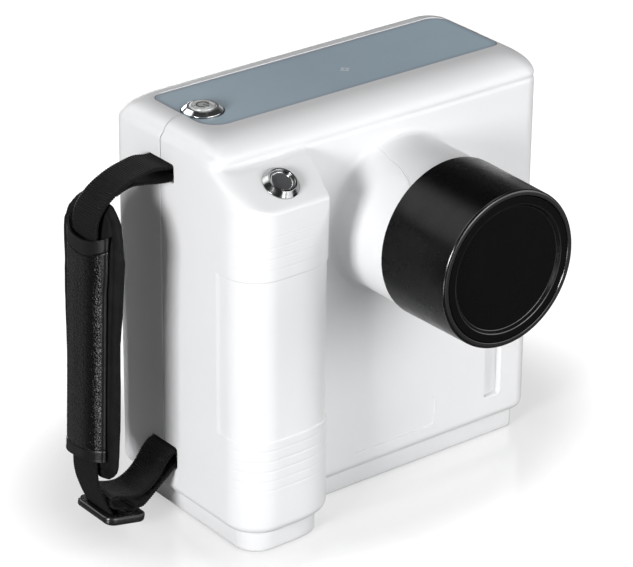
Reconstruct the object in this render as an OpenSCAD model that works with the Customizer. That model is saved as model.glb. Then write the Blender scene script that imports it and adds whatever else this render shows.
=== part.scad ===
// Portable intraoral X-ray unit: hand-held housing with a front grip column,
// a black beam-limiting cone and a padded hand strap.
// The lens side faces -Y, the grip and the strap are on the -X side, Z is up.
// The origin is the mouth of the tripod socket, at the middle of the underside.

/* [Housing] */
// Width of the housing across X
body_w = 175; // [150:0.5:200]
// Depth of the main housing across Y, without the grip column
body_d = 73; // [60:0.5:90]
// Height from the underside of the plinth to the top
body_h = 183; // [160:0.5:210]
// Wall thickness of the moulded shells
wall = 2.6; // [2:0.1:4]
// Height of the inset plinth under the shells
plinth_h = 10.3; // [6:0.1:16]
// Inset of the plinth from the shell sides
plinth_inset = 5; // [3:0.1:8]
// Y of the joint between the front and the rear shell
part_y = 1.5; // [-5:0.1:5]

/* [Grip column] */
// How far the grip column stands out in front of the main face
grip_out = 22.4; // [15:0.1:30]
// Angle of the sloped button face from level
slope_angle = 30.7; // [20:0.1:40]
// Height where the sloped face meets the main face
slope_z = 173; // [160:0.1:180]
// Depth of the wrap-around grip recess
grip_recess = 0.7; // [0.3:0.1:1.2]

/* [Cone] */
// X of the beam axis
axis_x = 7.8; // [0:0.1:20]
// Height of the beam axis
axis_z = 130.5; // [110:0.5:145]
// Outer radius of the white nozzle
nozzle_r = 34.5; // [30:0.1:40]
// Distance of the cone's rear rim in front of Y zero
cone_back = 69.7; // [60:0.1:80]
// Distance of the cone's front rim in front of Y zero
cone_front = 109.2; // [95:0.1:125]
// Outer radius of the cone at its rear rim
cone_r_back = 35.5; // [32:0.1:40]
// Outer radius of the cone at its front rim
cone_r_front = 34.7; // [32:0.1:40]

/* [Push-buttons] */
// X of the power button
power_x = -66.6; // [-75:0.1:-55]
// Y of the power button
power_y = 0.5; // [-10:0.1:10]
// Head diameter of the power button
power_head = 17.4; // [14:0.1:22]
// Travel of the power button
power_travel = 1.5; // [0.5:0.1:3]
// X of the exposure button
expo_x = -63; // [-72:0.1:-55]
// Y of the exposure button on the sloped face
expo_y = -48.1; // [-52:0.1:-44]
// Head diameter of the exposure button
expo_head = 16.4; // [14:0.1:22]
// Travel of the exposure button
expo_travel = 1.2; // [0.5:0.1:3]

/* [Rear panel] */
// Width of a keypad key
key_w = 15; // [10:0.5:20]
// Height of a keypad key
key_h = 9; // [6:0.5:14]
// Travel of a keypad key
key_travel = 0.8; // [0.4:0.1:1.5]

/* [Hand strap] */
// Width of the webbing
web_w = 17.5; // [15:0.5:25]
// Thickness of the webbing
web_t = 1.6; // [1.2:0.1:2.5]
// Width of the strap pad
pad_w = 37.6; // [32:0.2:48]
// Thickness of the strap pad
pad_t = 5; // [3:0.1:8]
// Lean of the pad towards the housing, from upright
pad_lean = 1.8; // [0:0.1:4]

/* [Hidden] */
$fn = 64;
hw = body_w / 2;
hd = body_d / 2;
gy = -hd - grip_out;              // front of the grip column
web_y = 1.4;                      // middle of the webbing
slot_top = [158, 166.2];
slot_bot = [23.7, 33.9];
expo_z = slope_z - (-hd - expo_y) * tan(slope_angle);
pivot_x = -96.5;                  // upright line that the strap swings about
key_xs = [-20, 5, 30];
key_zs = [101, 86];
boss_at = [[80.5, 22], [80.5, 95], [80.5, 166], [-80.5, 52], [-80.5, 138], [20, 174], [-44, 19]];
cell_xs = [-20, -1, 18, 37];

white = [0.93, 0.93, 0.94];
black = [0.07, 0.07, 0.08];
steel = [0.78, 0.79, 0.80];

// ---- outlines ----------------------------------------------------------

// Rectangle with its own radius at each corner: [-x -y, +x -y, +x +y, -x +y]
module rrect(x0, y0, x1, y1, r) {
  difference() {
    translate([x0, y0]) square([x1 - x0, y1 - y0]);
    corner(x0, y0, 1, 1, r[0]);
    corner(x1, y0, -1, 1, r[1]);
    corner(x1, y1, -1, -1, r[2]);
    corner(x0, y1, 1, -1, r[3]);
  }
}

module corner(x, y, sx, sy, r) {
  if (r > 0) translate([x, y]) scale([1, 1]) mirror([sx < 0 ? 1 : 0, 0]) mirror([0, sy < 0 ? 1 : 0])
    difference() {
      translate([-1, -1]) square([r + 1, r + 1]);
      translate([r, r]) circle(r);
    }
}

function rr4(r) = [r, r, r, r];

// Main housing seen from above, drawn in by g
module plan_main(g) {
  r = max(7.5 - g, 2);
  rrect(-hw + g, -hd + g, hw - g, hd - g, rr4(r));
}

// Grip column seen from above, drawn in by g; its right side leans inwards
module plan_grip(g) {
  rl = max(16 - g, 3);
  difference() {
    polygon([[-hw + g, 0], [-hw + g, gy + g], [-46 - g, gy + g], [-41.4 - g, -hd], [-41.4 - g, 0]]);
    corner(-hw + g, gy + g, 1, 1, rl);
    translate([-46 - g, gy + g]) mirror([1, 0]) difference() {
      translate([-2, -1]) square([5.4, 4.4]);
      translate([3.4, 3.4]) circle(4.1);
    }
  }
}

// Grip column seen from the side, drawn in by g: the top slopes down to the front
module side_grip(g) {
  zt = slope_z - g / cos(slope_angle);
  difference() {
    polygon([[0, plinth_h + g], [gy + g, plinth_h + g],
      [gy + g, zt - (grip_out - g) * tan(slope_angle)], [-hd, zt], [0, zt]]);
    corner(gy + g, plinth_h + g, 1, 1, max(5 - g, 1));
  }
}

// Extrude a side view, drawn as [y, z], across X
module across_x(x0, x1) {
  translate([x0, 0, 0]) rotate([90, 0, 90]) linear_extrude(x1 - x0) children();
}

// Extrude a front view, drawn as [x, z], from y0 to y1
module across_y(y0, y1) {
  translate([0, y1, 0]) rotate([90, 0, 0]) linear_extrude(y1 - y0) children();
}

// Solid shape of the housing, drawn in by g
module housing(g) {
  intersection() {
    translate([0, 0, plinth_h + g]) linear_extrude(body_h - plinth_h - 2 * g) plan_main(g);
    across_x(-hw, hw) rrect(-hd + g, plinth_h + g, hd - g, body_h - g,
      [max(5 - g, 2), max(5 - g, 2), 9 - g, 12 - g]);
    across_y(-hd, hd) rrect(-hw + g, plinth_h + g, hw - g, body_h - g,
      [max(5 - g, 2), max(5 - g, 2), 9.5 - g, 9.5 - g]);
  }
  intersection() {
    translate([0, 0, plinth_h + g]) linear_extrude(170) plan_grip(g);
    across_x(-hw, -30) side_grip(g);
  }
}

// Turn about the beam axis: the profile is drawn as [radius, distance in front of Y zero]
module about_beam() {
  translate([axis_x, 0, axis_z]) rotate([90, 0, 0]) rotate_extrude($fn = 96) children();
}

module beam_disc(r, l0, l1) {
  translate([axis_x, -l0, axis_z]) rotate([90, 0, 0]) cylinder(r = r, h = l1 - l0, $fn = 96);
}

// Stand on the sloped face at the exposure button, local Z pointing out of it
module on_slope() {
  translate([expo_x, expo_y, expo_z]) rotate([slope_angle, 0, 0]) children();
}

module at_power() {
  translate([power_x, power_y, body_h - 0.3]) children();
}

// ---- shells ------------------------------------------------------------

module hollow_housing() {
  difference() {
    union() {
      difference() {
        housing(0);
        housing(wall);
        // open underside inside the plinth
        translate([0, 0, 5]) linear_extrude(12) plan_main(plinth_inset + 3);
        translate([0, 0, 5]) linear_extrude(12) intersection() {
          plan_grip(plinth_inset + 3);
          translate([-hw, gy]) square([60, 60]);
        }
      }
      // backing behind the long groove of the front face
      translate([58, -hd + wall - 0.2, 20]) cube([15, 2.6, 100]);
      // strap pin bosses
      for (z = [162.1, 28.8]) for (s = [-1, 1])
        translate([-hw + wall - 0.2, web_y + s * 12.6 - 2.6, z - 5]) cube([9.4, 5.2, 10]);
      // screw bosses
      intersection() {
        for (p = boss_at) translate([p[0], hd - wall + 0.1, p[1]]) rotate([90, 0, 0])
          cylinder(r = 3.8, h = body_d - 2 * wall + 0.2);
        housing(1);
      }
    }
    // label recess
    translate([0, 0, body_h - 0.8]) linear_extrude(2) label_outline(0);
    // push-button holes
    at_power() translate([0, 0, -12]) cylinder(r = 7.15, h = 20);
    on_slope() translate([0, 0, -12]) cylinder(r = 7.15, h = 20);
    // nozzle hole
    beam_disc(33.4, 30, 50);
    // webbing slots
    for (z = [slot_top, slot_bot])
      translate([-hw - 2, web_y - web_w / 2 - 0.3, z[0]]) cube([wall + 4, web_w + 0.6, z[1] - z[0]]);
    // strap pin bores
    for (z = [162.1, 28.8]) translate([-80.2, web_y + 14, z]) rotate([90, 0, 0]) cylinder(r = 1.55, h = 28);
    // long groove and name field of the front face
    across_y(-hd - 1, -hd + 3) rrect(61, 23, 70, 112, rr4(1));
    across_y(-hd - 1, -hd + 0.6) rrect(-13, 19.5, 32, 33.7, rr4(1));
    // wrap-around grip recess and the fine grooves above and below it
    grip_cut(55, 129.2, grip_recess);
    for (i = [0:3]) {
      grip_cut(133.6 + i * 4.9, 134.4 + i * 4.9, 0.5);
      grip_cut(32 + i * 4.7, 32.8 + i * 4.7, 0.5);
    }
    // display opening, key openings, jack hole, sound holes
    across_y(hd - 1.6, hd + 1) rrect(-29, 114, 39, 160, rr4(4));
    across_y(20, hd + 1) rrect(-24, 119, 34, 155, rr4(2));
    for (x = key_xs) for (z = key_zs)
      across_y(20, hd + 1) rrect(x - key_w / 2 - 0.35, z - key_h / 2 - 0.35, x + key_w / 2 + 0.35, z + key_h / 2 + 0.35, rr4(2.35));
    translate([55, hd + 1, 28]) rotate([90, 0, 0]) cylinder(r = 4.1, h = 8);
    for (a = [0:60:300]) translate([-52 + 3 * cos(a), hd + 1, 60 + 3 * sin(a)]) rotate([90, 0, 0])
      cylinder(r = 0.7, h = 8, $fn = 24);
    // case screw holes with sunk heads
    for (p = boss_at) translate([p[0], hd + 1, p[1]]) rotate([90, 0, 0]) {
      cylinder(r = 3.2, h = 3.2);
      cylinder(r = 1.55, h = 45);
    }
  }
}

module grip_cut(z0, z1, d) {
  translate([0, 0, z0]) linear_extrude(z1 - z0) difference() {
    translate([-hw - 2, gy - 2]) square([50, gy * -1 - 37.2 + 2]);
    plan_grip(d);
  }
}

module front_shell() {
  color(white) intersection() {
    hollow_housing();
    translate([-hw - 1, gy - 1, 0]) cube([body_w + 2, part_y - gy + 1, body_h + 1]);
  }
}

module rear_shell() {
  color(white) intersection() {
    hollow_housing();
    translate([-hw - 1, part_y, 0]) cube([body_w + 2, hd, body_h + 1]);
  }
}

module plinth_outline(g) {
  plan_main(plinth_inset + g);
  plan_grip_base(plinth_inset + g);
}

module plan_grip_base(g) {
  rrect(-hw + g, gy + g, -43.4 - g + plinth_inset, 0, [12, 3, 0, 0]);
}

module base_plinth() {
  color(white) difference() {
    linear_extrude(plinth_h) plinth_outline(0);
    difference() {
      translate([0, 0, 3]) linear_extrude(plinth_h) plinth_outline(wall);
      cylinder(r = 8, h = plinth_h);
      for (p = base_screw_at) translate([p[0], p[1], 0]) cylinder(r = 3.6, h = plinth_h);
    }
    translate([0, 0, -1]) cylinder(r = 4.8, h = 11);
    for (p = base_screw_at) translate([p[0], p[1], -1]) {
      cylinder(r = 2.9, h = 3);
      cylinder(r = 1.55, h = 20);
    }
  }
}

base_screw_at = [[-76.5, 25], [-76.5, -40], [76.5, 25], [76.5, -25], [30, -25.6], [-50, -46]];

module base_screws() {
  color(steel) for (p = base_screw_at) translate([p[0], p[1], 0]) difference() {
    union() {
      translate([0, 0, 0.5]) cylinder(r = 2.8, h = 1.5);
      translate([0, 0, 1.5]) cylinder(r = 1.5, h = 8.6);
    }
    for (a = [0, 90]) rotate([0, 0, a]) translate([-1.6, -0.35, 0]) cube([3.2, 0.7, 1]);
  }
}

module case_screws() {
  color(steel) for (p = boss_at) translate([p[0], hd - 0.6, p[1]]) rotate([90, 0, 0]) difference() {
    union() {
      cylinder(r = 3, h = 1.6);
      cylinder(r = 1.5, h = 42);
    }
    for (a = [0, 90]) rotate([0, 0, a]) translate([-1.7, -0.35, -0.1]) cube([3.4, 0.7, 1]);
  }
}

module tripod_insert() {
  color([0.80, 0.66, 0.36]) difference() {
    cylinder(r = 4.8, h = 10);
    translate([0, 0, -1]) cylinder(r = 3.175, h = 10);
  }
}

module label_outline(g) {
  rrect(-76 + g, -17.4 + g, 81 - g, 25.8 - g, [10 - g, 5 - g, 8 - g, 6 - g]);
}

module top_label() {
  color([0.55, 0.61, 0.66]) difference() {
    translate([0, 0, body_h - 0.8]) linear_extrude(0.5) label_outline(0.25);
    at_power() translate([0, 0, -3]) cylinder(r = power_head / 2 + 0.3, h = 6);
  }
}

// ---- nozzle and cone -----------------------------------------------------

function flare(r, l, q) = [for (a = [0:15:90]) [r + q - q * sin(a), l + q - q * cos(a)]];

module nozzle() {
  color(white) difference() {
    about_beam() polygon(concat([[31, hd - wall - 2.6], [38.5, hd - wall - 2.6], [38.5, hd - wall],
      [33.2, hd - wall], [33.2, hd]], flare(nozzle_r, hd, 3.2),
      [[nozzle_r, cone_back - 0.3], [33.1, cone_back - 0.3], [33.1, cone_back + 10], [31, cone_back + 10]]));
    for (a = [45:90:315]) translate([axis_x + 36 * cos(a), -hd + wall + 4, axis_z + 36 * sin(a)])
      rotate([90, 0, 0]) cylinder(r = 1.1, h = 8, $fn = 32);
  }
}

module nozzle_screws() {
  color(steel) for (a = [45:90:315])
    translate([axis_x + 36 * cos(a), -hd + wall + 2.6, axis_z + 36 * sin(a)]) rotate([90, 0, 0]) {
      translate([0, 0, -1.2]) cylinder(r = 2, h = 1.2, $fn = 32);
      cylinder(r = 1, h = 2.6, $fn = 32);
    }
}

module cone_barrel() {
  color(black) about_beam() polygon([[33.2, cone_back], [cone_r_back, cone_back],
    [cone_r_front + 0.05, cone_front - 2], [cone_r_front - 0.45, cone_front - 0.6],
    [cone_r_front - 1.4, cone_front], [cone_r_front - 2.6, cone_front],
    [cone_r_front - 3, cone_front - 1], [30.6, cone_front - 1.2], [30.6, cone_front - 3.2],
    [32.2, cone_front - 3.2], [32.2, cone_back + 10.6], [33.2, cone_back + 10.2]]);
}

module cone_window() {
  color(black) beam_disc(32.1, cone_front - 5.4, cone_front - 3.2);
}

module cone_lead_liner() {
  color([0.42, 0.43, 0.46]) about_beam() polygon([[31.2, cone_back + 11], [32.15, cone_back + 11],
    [32.15, cone_front - 5.4], [31.2, cone_front - 5.4]]);
}

module collimator_disc() {
  color([0.42, 0.43, 0.46]) difference() {
    beam_disc(30.9, 31.4, 34.4);
    beam_disc(9, 30, 36);
  }
}

module aluminium_filter() {
  color([0.75, 0.76, 0.78]) beam_disc(12, 29.8, 31.4);
}

// ---- push-buttons --------------------------------------------------------

module power_bezel() {
  color(steel) at_power() translate([0, 0, -0.2]) rotate_extrude() polygon([[5.55, -18], [7, -18], [7, 0],
    [power_head / 2, 0], [power_head / 2, 0.7], [6.5, 2.3], [5.55, 2.3]]);
}

module power_cap() {
  color(steel) at_power() {
    translate([0, 0, -3.2]) cylinder(r = 5.47, h = 5.9);
    translate([0, 0, -6]) cylinder(r = 2, h = 3);
  }
}

module power_contacts() {
  color(black) at_power() {
    translate([0, 0, -18.2]) cylinder(r = 5.5, h = 10);
    translate([0, 0, -21.2]) cylinder(r = 6.8, h = 3);
    for (x = [-3, 3]) translate([x - 0.4, -1.5, -26]) cube([0.8, 3, 5]);
  }
}

module hex_nut(r) {
  difference() {
    cylinder(r = r, h = 2.5, $fn = 6);
    translate([0, 0, -1]) cylinder(r = 7.02, h = 5);
  }
}

module power_nut() {
  color(steel) at_power() translate([0, 0, -wall - 2.35 + 0.1]) hex_nut(9.6);
}

module exposure_bezel() {
  color(steel) on_slope() rotate_extrude() polygon([[5.1, -17], [7, -17], [7, 0],
    [expo_head / 2, 0], [expo_head / 2, 0.5], [6.1, 2.7], [5.4, 2.9], [5.1, 2.6]]);
}

module exposure_cap() {
  color([0.35, 0.36, 0.38]) on_slope() {
    translate([0, 0, -4]) cylinder(r = 5.02, h = 5.9);
    translate([0, 0, -6.5]) cylinder(r = 2, h = 3);
  }
}

module exposure_contacts() {
  color(black) on_slope() {
    translate([0, 0, -17.2]) cylinder(r = 5.05, h = 9.2);
    translate([0, 0, -20]) cylinder(r = 6.8, h = 3);
    for (x = [-3, 3]) translate([x - 0.4, -1.5, -24.5]) cube([0.8, 3, 5]);
  }
}

module exposure_nut() {
  color(steel) on_slope() translate([0, 0, -wall - 2.55]) hex_nut(9.2);
}

// ---- X-ray tank ----------------------------------------------------------

tx = [-38, 54];
ty = [-28.5, 22];
tz = [80, 160];

module box(x, y, z) {
  translate([x[0], y[0], z[0]]) cube([x[1] - x[0], y[1] - y[0], z[1] - z[0]]);
}

module tank() {
  color([0.70, 0.71, 0.73]) difference() {
    box(tx, ty, tz);
    box([tx[0] + 2.8, tx[1] - 2.8], [ty[0] + 2.8, ty[1] - 2.8], [tz[0] + 3, tz[1] + 1]);
    beam_disc(13.2, 20, 35);
  }
}

module tank_lid() {
  color([0.70, 0.71, 0.73]) difference() {
    box([tx[0], tx[1]], [ty[0], ty[1]], [tz[1], tz[1] + 3]);
    for (x = [tx[0] + 15, tx[1] - 15]) translate([x, ty[0] + 8, tz[1] - 1]) cylinder(r = 2.2, h = 6);
  }
}

module tank_window() {
  color([0.85, 0.80, 0.62]) beam_disc(13.15, 25.7, 28.5);
}

module tube_x(r, x0, x1) {
  translate([axis_x + x0, part_y, axis_z]) rotate([0, 90, 0]) cylinder(r = r, h = x1 - x0);
}

module tube_glass() {
  color([0.80, 0.88, 0.90]) difference() {
    union() {
      tube_x(14, -26, 26);
      tube_x(7, -33, 33);
    }
    tube_x(12.6, -24.6, 24.6);
    tube_x(4.05, -34, -20);
    tube_x(6.05, 20, 34);
  }
}

module tube_anode() {
  color([0.78, 0.48, 0.32]) difference() {
    union() {
      tube_x(8, -4, 24);
      tube_x(6, 23, 37);
    }
    translate([axis_x - 4, part_y - 12, axis_z - 12]) rotate([0, 0, 20]) translate([-20, -4, 0]) cube([20, 30, 24]);
  }
}

module tube_cathode() {
  color(steel) {
    tube_x(7, -22, -12);
    tube_x(4, -37, -21.5);
  }
}

module lead_shield() {
  color([0.42, 0.43, 0.46]) difference() {
    tube_x(17.6, -28, 28);
    tube_x(14.2, -29, 29);
    beam_disc(11, 0, 30);
  }
}

module transformer_core() {
  color([0.22, 0.22, 0.24]) difference() {
    box([-16, 30], [-18, 12], [84, 107]);
    box([-10, 3], [-20, 14], [89, 102]);
    box([11, 24], [-20, 14], [89, 102]);
  }
}

module transformer_coils() {
  color([0.70, 0.42, 0.20]) for (x = [[-9.8, 2.8], [11.2, 23.8]]) difference() {
    box(x, [-17.8, 11.8], [89.2, 101.8]);
    box([x[0] + 5, x[1] - 5], [-19, 13], [91, 100]);
  }
}

module multiplier_board() {
  color([0.10, 0.35, 0.20]) box([-32, 48], [-22, 16], [151, 152.6]);
}

module multiplier_capacitors() {
  color([0.30, 0.45, 0.70]) for (x = [-25:11:41]) for (y = [-14, 8])
    translate([x, y, 152.6]) cylinder(r = 4, h = 5, $fn = 32);
}

module chassis_plate() {
  color([0.70, 0.71, 0.73]) difference() {
    box([-76, 76], [-31, 22], [78.4, 80]);
    box([-77, -50], [-1, 23], [78, 81]);
  }
}

// ---- battery and boards ----------------------------------------------------

module battery_cells() {
  color([0.20, 0.40, 0.62]) for (x = cell_xs) translate([x, -4, 12.9]) {
    cylinder(r = 9.1, h = 64.4);
    cylinder(r = 2.8, h = 65.2);
  }
}

module battery_tray() {
  color(black) difference() {
    box([-32, 49], [-15.5, 7.5], [10.4, 30]);
    for (x = cell_xs) translate([x, -4, 12.9]) cylinder(r = 9.15, h = 30);
    box([-25, 42], [-18, 9], [16, 26]);
  }
}

module main_board() {
  color([0.10, 0.35, 0.20]) box([-34, 74], [22.4, 24], [14, 76]);
}

module board_capacitors() {
  color([0.12, 0.16, 0.32]) for (x = [-24:14:18]) translate([x, 22.4, 68]) rotate([90, 0, 0]) cylinder(r = 5, h = 12);
}

module heatsink() {
  color([0.62, 0.63, 0.65]) {
    box([56, 72], [19.4, 22.4], [30, 62]);
    for (i = [0:5]) box([56 + i * 2.96, 57.2 + i * 2.96], [4, 19.6], [30, 62]);
  }
}

module display_board() {
  color([0.10, 0.35, 0.20]) box([-30, 40], [24.4, 26], [78, 158]);
}

module lcd_module() {
  color([0.20, 0.22, 0.24]) box([-27, 37], [26, 33.4], [116, 157.5]);
}

module display_window() {
  color([0.05, 0.06, 0.08]) across_y(hd - 1.6, hd) rrect(-28.75, 114.25, 38.75, 159.75, rr4(3.75));
}

module tact_switches() {
  color(black) for (x = key_xs) for (z = key_zs) {
    box([x - 3, x + 3], [26, 29], [z - 3, z + 3]);
    translate([x, 30, z]) rotate([90, 0, 0]) cylinder(r = 1.7, h = 1.2);
  }
}

module key(i, j) {
  x = key_xs[i];
  z = key_zs[j];
  across_y(32.5, hd + 1.2) rrect(x - key_w / 2, z - key_h / 2, x + key_w / 2, z + key_h / 2, rr4(2));
  across_y(32, 33.2) rrect(x - key_w / 2 - 1.4, z - key_h / 2 - 1.4, x + key_w / 2 + 1.4, z + key_h / 2 + 1.4, rr4(2));
  translate([x, 32.2, z]) rotate([90, 0, 0]) cylinder(r = 1.8, h = 1);
}

module key_plus() { color([0.30, 0.46, 0.62]) key(0, 0); }
module key_minus() { color([0.30, 0.46, 0.62]) key(0, 1); }
module key_tooth() { color([0.75, 0.77, 0.80]) key(1, 0); }
module key_patient() { color([0.75, 0.77, 0.80]) key(1, 1); }
module key_film() { color([0.75, 0.77, 0.80]) key(2, 0); }
module key_ready() { color([0.88, 0.60, 0.22]) key(2, 1); }

module ribbon_cable() {
  color([0.75, 0.76, 0.78]) box([44, 60], [24, 24.6], [66, 90]);
  color([0.75, 0.76, 0.78]) box([39, 60], [24, 24.4], [84, 90]);
}

module buzzer() {
  color(black) translate([-52, hd - wall - 0.1, 60]) rotate([90, 0, 0]) cylinder(r = 6, h = 8);
}

module dc_jack() {
  color(black) difference() {
    union() {
      translate([55, hd - 0.3, 28]) rotate([90, 0, 0]) cylinder(r = 4, h = 4);
      box([49, 61], [24, hd - wall - 0.1], [23, 33]);
    }
    translate([55, hd + 1, 28]) rotate([90, 0, 0]) cylinder(r = 2.8, h = 10.5);
  }
  color(steel) translate([55, hd - 1.5, 28]) rotate([90, 0, 0]) cylinder(r = 1, h = 10);
}

// ---- hand strap -------------------------------------------------------------

module strap_pins() {
  color(steel) for (z = [162.1, 28.8]) translate([-80.2, web_y + 14, z]) rotate([90, 0, 0]) cylinder(r = 1.5, h = 28);
}

// Flat band through points given as [x, z], web_w wide
module band(pts, w, t) {
  for (i = [0:len(pts) - 2]) {
    a = pts[i];
    b = pts[i + 1];
    d = norm(b - a);
    n = [-(b - a)[1], (b - a)[0]] / d * t / 2;
    across_y(web_y - w / 2, web_y + w / 2) polygon([a + n, b + n, b - n, a - n]);
  }
  if (len(pts) > 2) for (i = [1:len(pts) - 2])
    translate([pts[i][0], web_y + w / 2, pts[i][1]]) rotate([90, 0, 0]) cylinder(r = t / 2, h = w, $fn = 24);
}

// The fixed ends: each runs from its pin out through the slot to the swing line
module webbing_ends() {
  color(black) {
    across_y(web_y - web_w / 2, web_y + web_w / 2) polygon([[-92, 166.1], [-76.8, 165.8], [-76.8, 158.6],
      [-89, 158.6], [-91.6, 159.2], [-91.6, 160.8], [-89, 160.2], [-78.4, 160.2], [-78.4, 164.2], [-92, 164.5]]);
    across_y(web_y - 1.5, web_y + 1.5) polygon([[-91, 164.8], [-96, 165], [-96, 165.9], [-91, 165.7]]);
    across_y(web_y - web_w / 2, web_y + web_w / 2) polygon([[-76.8, 32.8], [-88.7, 32.8], [-92.4, 30.3],
      [-91.5, 28.9], [-88.2, 31.2], [-78.4, 31.2], [-78.4, 26.3], [-87.7, 26.1], [-91.2, 23.8], [-90.3, 22.5],
      [-87.2, 24.5], [-76.8, 24.7]]);
    across_y(web_y - 1.5, web_y + 1.5) polygon([[-90.9, 30.7], [-96.3, 25.2], [-95.6, 24.5], [-90.6, 30]]);
  }
}

// The upper webbing arches over the pad's top end, with its sewn-back tail under it
module webbing_upper() {
  color(black) {
    band([[-97.6, 165.7], [-101, 165.3], [-106.4, 164.1], [-111.2, 162.3], [-116.2, 159.7],
      [-120.4, 156.4], [-123.5, 152.6], [-124.8, 148.3], [-124.9, 144], [-125.3, 130]], web_w, web_t);
    band([[-97.6, 161.2], [-104, 162.1], [-108.5, 163]], web_w, web_t);
  }
}

// From the swing line down through both slots of the buckle and up under the sleeve.
// The second layer comes back over the buckle and folds round to the middle bar.
module webbing_lower() {
  color(black) {
    band([[-97.4, 18.2], [-100.8, 15], [-104.3, 12.3], [-107.6, 11.7], [-111.1, 9.7], [-113.9, 7.4],
      [-118.6, 8.3], [-120.1, 11.4], [-122, 14.6], [-123.9, 18.5], [-126, 23.6], [-127.4, 28],
      [-128.2, 33], [-128.4, 40], [-128.2, 46], [-127.7, 60]], web_w, web_t);
    band([[-97.4, 22.5], [-101.5, 19.2], [-106.5, 17.4], [-111.5, 17.8], [-115.5, 19], [-118.6, 20],
      [-120.8, 19.9], [-121.4, 18.2], [-119.8, 16.3], [-116.5, 14.8], [-113.6, 13.8]], web_w, web_t);
  }
}

// Stand in the leaning frame of the pad: local X zero is its outer face
module on_pad() {
  translate([-126.35, web_y, 52]) rotate([0, pad_lean, 0]) translate([0, 0, -52]) children();
}

// Padded backing with a pointed top end; the webbing crosses the top in a shallow channel
module strap_pad() {
  color(black) difference() {
    on_pad() translate([pad_t, 0, 0]) rotate([90, 0, -90]) linear_extrude(pad_t)
      rrect(-pad_w / 2, 31.6, pad_w / 2, 159.6, [12, 12, 18.6, 18.6]);
    across_y(web_y - web_w / 2 - 0.5, web_y + web_w / 2 + 0.5) polygon([[-113, 159.2], [-115.6, 158.6],
      [-119.6, 155.5], [-122.4, 152.2], [-123.6, 148.2], [-123.7, 144], [-132, 144], [-132, 164], [-113, 164]]);
  }
}

// Sleeve over the webbing on the outer side of the pad
module strap_sleeve() {
  color(black) on_pad() difference() {
    translate([-4.8, 0, 0]) across_y(-13.4, 13.4) rrect(0, 41, 4.8, 144, rr4(1.5));
    translate([-2.9, -web_w / 2 - 0.4, 30]) cube([3.3, web_w + 0.8, 120]);
  }
}

// Tri-glide buckle: a frame with a middle bar, its pad end lifted by the webbing
module strap_buckle() {
  color(black) translate([-115.7, web_y, 10.5]) rotate([0, 11.4, 0]) difference() {
    linear_extrude(3, center = true) rrect(-10.5, -13, 10.5, 13, rr4(4));
    for (s = [-1, 1]) translate([s * 4.5, 0, -3]) linear_extrude(6) rrect(-2.7, -9.4, 2.7, 9.4, rr4(1));
  }
}

// Sub-part to draw on its own, or "all"

front_shell();
rear_shell();
base_plinth();
nozzle();
cone_barrel();
cone_window();
cone_lead_liner();
collimator_disc();
aluminium_filter();
top_label();
power_bezel();
power_cap();
power_contacts();
power_nut();
exposure_bezel();
exposure_cap();
exposure_contacts();
exposure_nut();
tank();
tank_lid();
tank_window();
tube_glass();
tube_anode();
tube_cathode();
lead_shield();
transformer_core();
transformer_coils();
multiplier_board();
multiplier_capacitors();
chassis_plate();
battery_cells();
battery_tray();
main_board();
board_capacitors();
heatsink();
display_window();
lcd_module();
display_board();
tact_switches();
key_plus();
key_minus();
key_tooth();
key_patient();
key_film();
key_ready();
ribbon_cable();
buzzer();
dc_jack();
tripod_insert();
base_screws();
case_screws();
nozzle_screws();
strap_pins();
webbing_ends();
webbing_upper();
webbing_lower();
strap_pad();
strap_sleeve();
strap_buckle();
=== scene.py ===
"""Looks for the portable intraoral X-ray unit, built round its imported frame.

Shapes are worked out in millimetres and turned into metres as each mesh is made.
The cone faces -Y, the grip and the hand strap are on the -X side, Z is up.
"""

import math
from contextlib import contextmanager

import bmesh
import bpy
import numpy as np
from mathutils import Matrix, Vector, noise


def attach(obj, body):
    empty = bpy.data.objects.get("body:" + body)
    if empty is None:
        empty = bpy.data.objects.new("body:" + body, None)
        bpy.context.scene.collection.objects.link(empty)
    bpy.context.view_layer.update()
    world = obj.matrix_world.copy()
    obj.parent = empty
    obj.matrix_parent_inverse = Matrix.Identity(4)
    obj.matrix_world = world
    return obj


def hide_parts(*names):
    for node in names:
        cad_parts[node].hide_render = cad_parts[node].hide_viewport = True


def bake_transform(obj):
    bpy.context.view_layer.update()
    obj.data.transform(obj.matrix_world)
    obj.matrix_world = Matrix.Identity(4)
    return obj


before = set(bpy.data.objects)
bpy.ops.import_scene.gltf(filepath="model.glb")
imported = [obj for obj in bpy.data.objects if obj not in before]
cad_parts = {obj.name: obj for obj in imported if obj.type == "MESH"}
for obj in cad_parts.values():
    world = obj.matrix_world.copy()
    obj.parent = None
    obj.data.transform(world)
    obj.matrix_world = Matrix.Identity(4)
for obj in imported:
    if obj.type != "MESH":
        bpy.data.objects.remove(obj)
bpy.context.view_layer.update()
MM = 0.001

# ---- camera ------------------------------------------------------------------

azimuth, elevation, roll = (math.radians(a) for a in (-38.36, 26.0, 0.65))
level = math.cos(elevation)
back = Vector((math.sin(azimuth) * level, -math.cos(azimuth) * level, math.sin(elevation)))
right = Vector((math.cos(azimuth), math.sin(azimuth), 0))
up = back.cross(right)
right, up = right * math.cos(roll) + up * math.sin(roll), up * math.cos(roll) - right * math.sin(roll)
camera = bpy.data.objects.new("camera", bpy.data.cameras.new("camera"))
camera.data.sensor_width = 36
camera.data.lens = 179.9
camera.data.shift_x = -0.0182
camera.data.clip_end = 30
placing = Matrix((right, up, back)).transposed().to_4x4()
placing.translation = Vector((0, 0, 0.084)) + back * 1.38395
camera.matrix_world = placing
bpy.context.scene.collection.objects.link(camera)
bpy.context.scene.camera = camera

# ---- materials -----------------------------------------------------------------


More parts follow.
